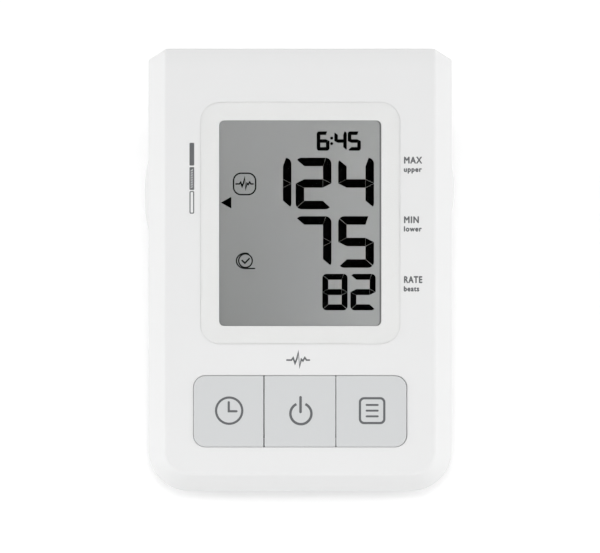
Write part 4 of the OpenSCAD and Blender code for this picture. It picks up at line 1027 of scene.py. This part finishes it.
FINISH = {
    "front_cover": shell, "rear_cover": shell, "display_lens": lens_mat, "lens_gasket": rubber,
    "lcd_panel": panel_mat, "lcd_frame": ivory, "lcd_connectors": strip, "main_board": board_mat,
    "control_chip": chip, "pressure_sensor": sensor, "switch_bodies": chip,
    "switch_plunger_time": plunger, "switch_plunger_power": plunger,
    "switch_plunger_memory": plunger,
    "key_time": key_mat, "key_power": key_mat, "key_memory": key_mat, "board_screws": steel,
    "battery_door": door, "battery_cells": cell_mat, "battery_springs": wire,
    "battery_contacts": nickel, "pump_motor": motor, "pump_head": head, "pump_shaft": shaft,
    "pump_sleeve": rubber, "pump_pad": foam,
    "exhaust_valve": valve, "valve_plunger": shaft, "air_cross": cross, "air_hoses": hose_mat,
    "cuff_socket": socket_light, "cuff_socket_nut": nut, "cuff_socket_seal": rubber,
    "dc_socket": socket_dark, "dc_pin": nickel, "dc_socket_nut": nut, "rubber_feet": feet,
    "case_screws": steel,
}
smooth_group = smoother()
for name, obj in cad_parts.items():
    for slot in obj.material_slots:
        slot.material = FINISH[name]
    mod = obj.modifiers.new("smooth", "NODES")
    mod.node_group = smooth_group
    even_normals(obj)


# Stage: a pale floor, light from both sides of the sky, and weak boxes in front and above
FLOOR_R, FLOOR_TONE, FLOOR_GLOW = 6.0, 0.8, 0.1


def floor():
    """Matt floor that keeps the shadow and is a little brighter where it is seen."""
    bm = bmesh.new()
    bmesh.ops.create_circle(bm, cap_ends=True, segments=96, radius=FLOOR_R)
    mesh = bpy.data.meshes.new("floor")
    bm.to_mesh(mesh)
    bm.free()
    obj = bpy.data.objects.new("floor", mesh)
    bpy.context.collection.objects.link(obj)
    m = Nodes("floor_white")
    m.tree.nodes.remove(m.shader)
    path = m.add("ShaderNodeLightPath").outputs
    through = m.math("MAXIMUM", path["Is Glossy Ray"], path["Is Transmission Ray"])
    seen = m.math("MAXIMUM", path["Is Camera Ray"], through)
    matt = m.add("ShaderNodeBsdfDiffuse")
    tone = m.math("ADD", FLOOR_TONE, m.math("MULTIPLY", seen, 1 - FLOOR_TONE))
    m.link(tone, matt.inputs["Color"])
    glow = m.add("ShaderNodeEmission")
    m.link(m.math("MULTIPLY", seen, FLOOR_GLOW), glow.inputs["Strength"])
    both = m.add("ShaderNodeAddShader")
    m.link(matt.outputs[0], both.inputs[0])
    m.link(glow.outputs[0], both.inputs[1])
    m.link(both.outputs[0], m.tree.nodes["Material Output"].inputs["Surface"])
    mesh.materials.append(m.mat)


floor()

SIDES, BEHIND, ABOVE, BASE = 3.012, 0.3255, 1.215, 0.24
CARD = math.cos(math.radians(11))


def sky():
    """White where it is seen, also in reflections and through the window; else light from the sides.

    A dark disc straight out from the face, behind the camera, keeps white glare off the face.
    """
    world = bpy.data.worlds.new("studio")
    bpy.context.scene.world = world
    world.use_nodes = True
    tree = world.node_tree
    back = tree.nodes["Background"]
    coord = tree.nodes.new("ShaderNodeTexCoord")
    split = tree.nodes.new("ShaderNodeSeparateXYZ")
    tree.links.new(coord.outputs["Generated"], split.inputs[0])

    def calc(operation, *values):
        node = tree.nodes.new("ShaderNodeMath")
        node.operation = operation
        for socket, value in zip(node.inputs, values):
            if isinstance(value, bpy.types.NodeSocket):
                tree.links.new(value, socket)
            else:
                socket.default_value = value
        return node.outputs[0]

    x, y, z = split.outputs
    sides = calc("MULTIPLY", calc("POWER", calc("ABSOLUTE", x), 4.0), SIDES)
    behind = calc("MULTIPLY", calc("MAXIMUM", y, 0.0), BEHIND)
    above = calc("MULTIPLY", calc("POWER", calc("MAXIMUM", z, 0.0), 12.0), ABOVE)
    level = calc("ADD", calc("ADD", sides, BASE), calc("ADD", behind, above))
    toward = calc("ADD", calc("MULTIPLY", y, -math.sin(TILT)),
                  calc("MULTIPLY", z, math.cos(TILT)))
    card = calc("GREATER_THAN", toward, CARD)
    path = tree.nodes.new("ShaderNodeLightPath").outputs
    through = calc("MAXIMUM", path["Is Glossy Ray"], path["Is Transmission Ray"])
    direct = calc("LESS_THAN", path["Diffuse Depth"], 0.5)
    seen = calc("MAXIMUM", path["Is Camera Ray"], calc("MULTIPLY", through, direct))
    shown = calc("ADD", seen, calc("MULTIPLY", level, calc("SUBTRACT", 1.0, seen)))
    tree.links.new(calc("MULTIPLY", shown, calc("SUBTRACT", 1.0, card)), back.inputs["Strength"])
    back.inputs["Color"].default_value = (1, 1, 1, 1)


sky()


def lamp(name, place, aim, size, power):
    """Soft box at a place, turned towards an aim."""
    data = bpy.data.lights.new(name, "AREA")
    data.shape = "RECTANGLE"
    data.size, data.size_y = size
    data.energy = power
    obj = bpy.data.objects.new(name, data)
    bpy.context.collection.objects.link(obj)
    obj.location = place
    obj.rotation_euler = (Vector(aim) - Vector(place)).to_track_quat("-Z", "Y").to_euler()


lamp("front_box", (0, -0.62, 0.26), (0, -0.03, 0.03), (0.8, 0.3), 0.924)
lamp("top_box", (0, -0.36, 0.42), (0, -0.05, 0.03), (0.5, 0.2), 0.152)
lamp("key_box", (0, -0.16, 1.53), (0, 0, 0.04), (0.3, 0.22), 2.06)
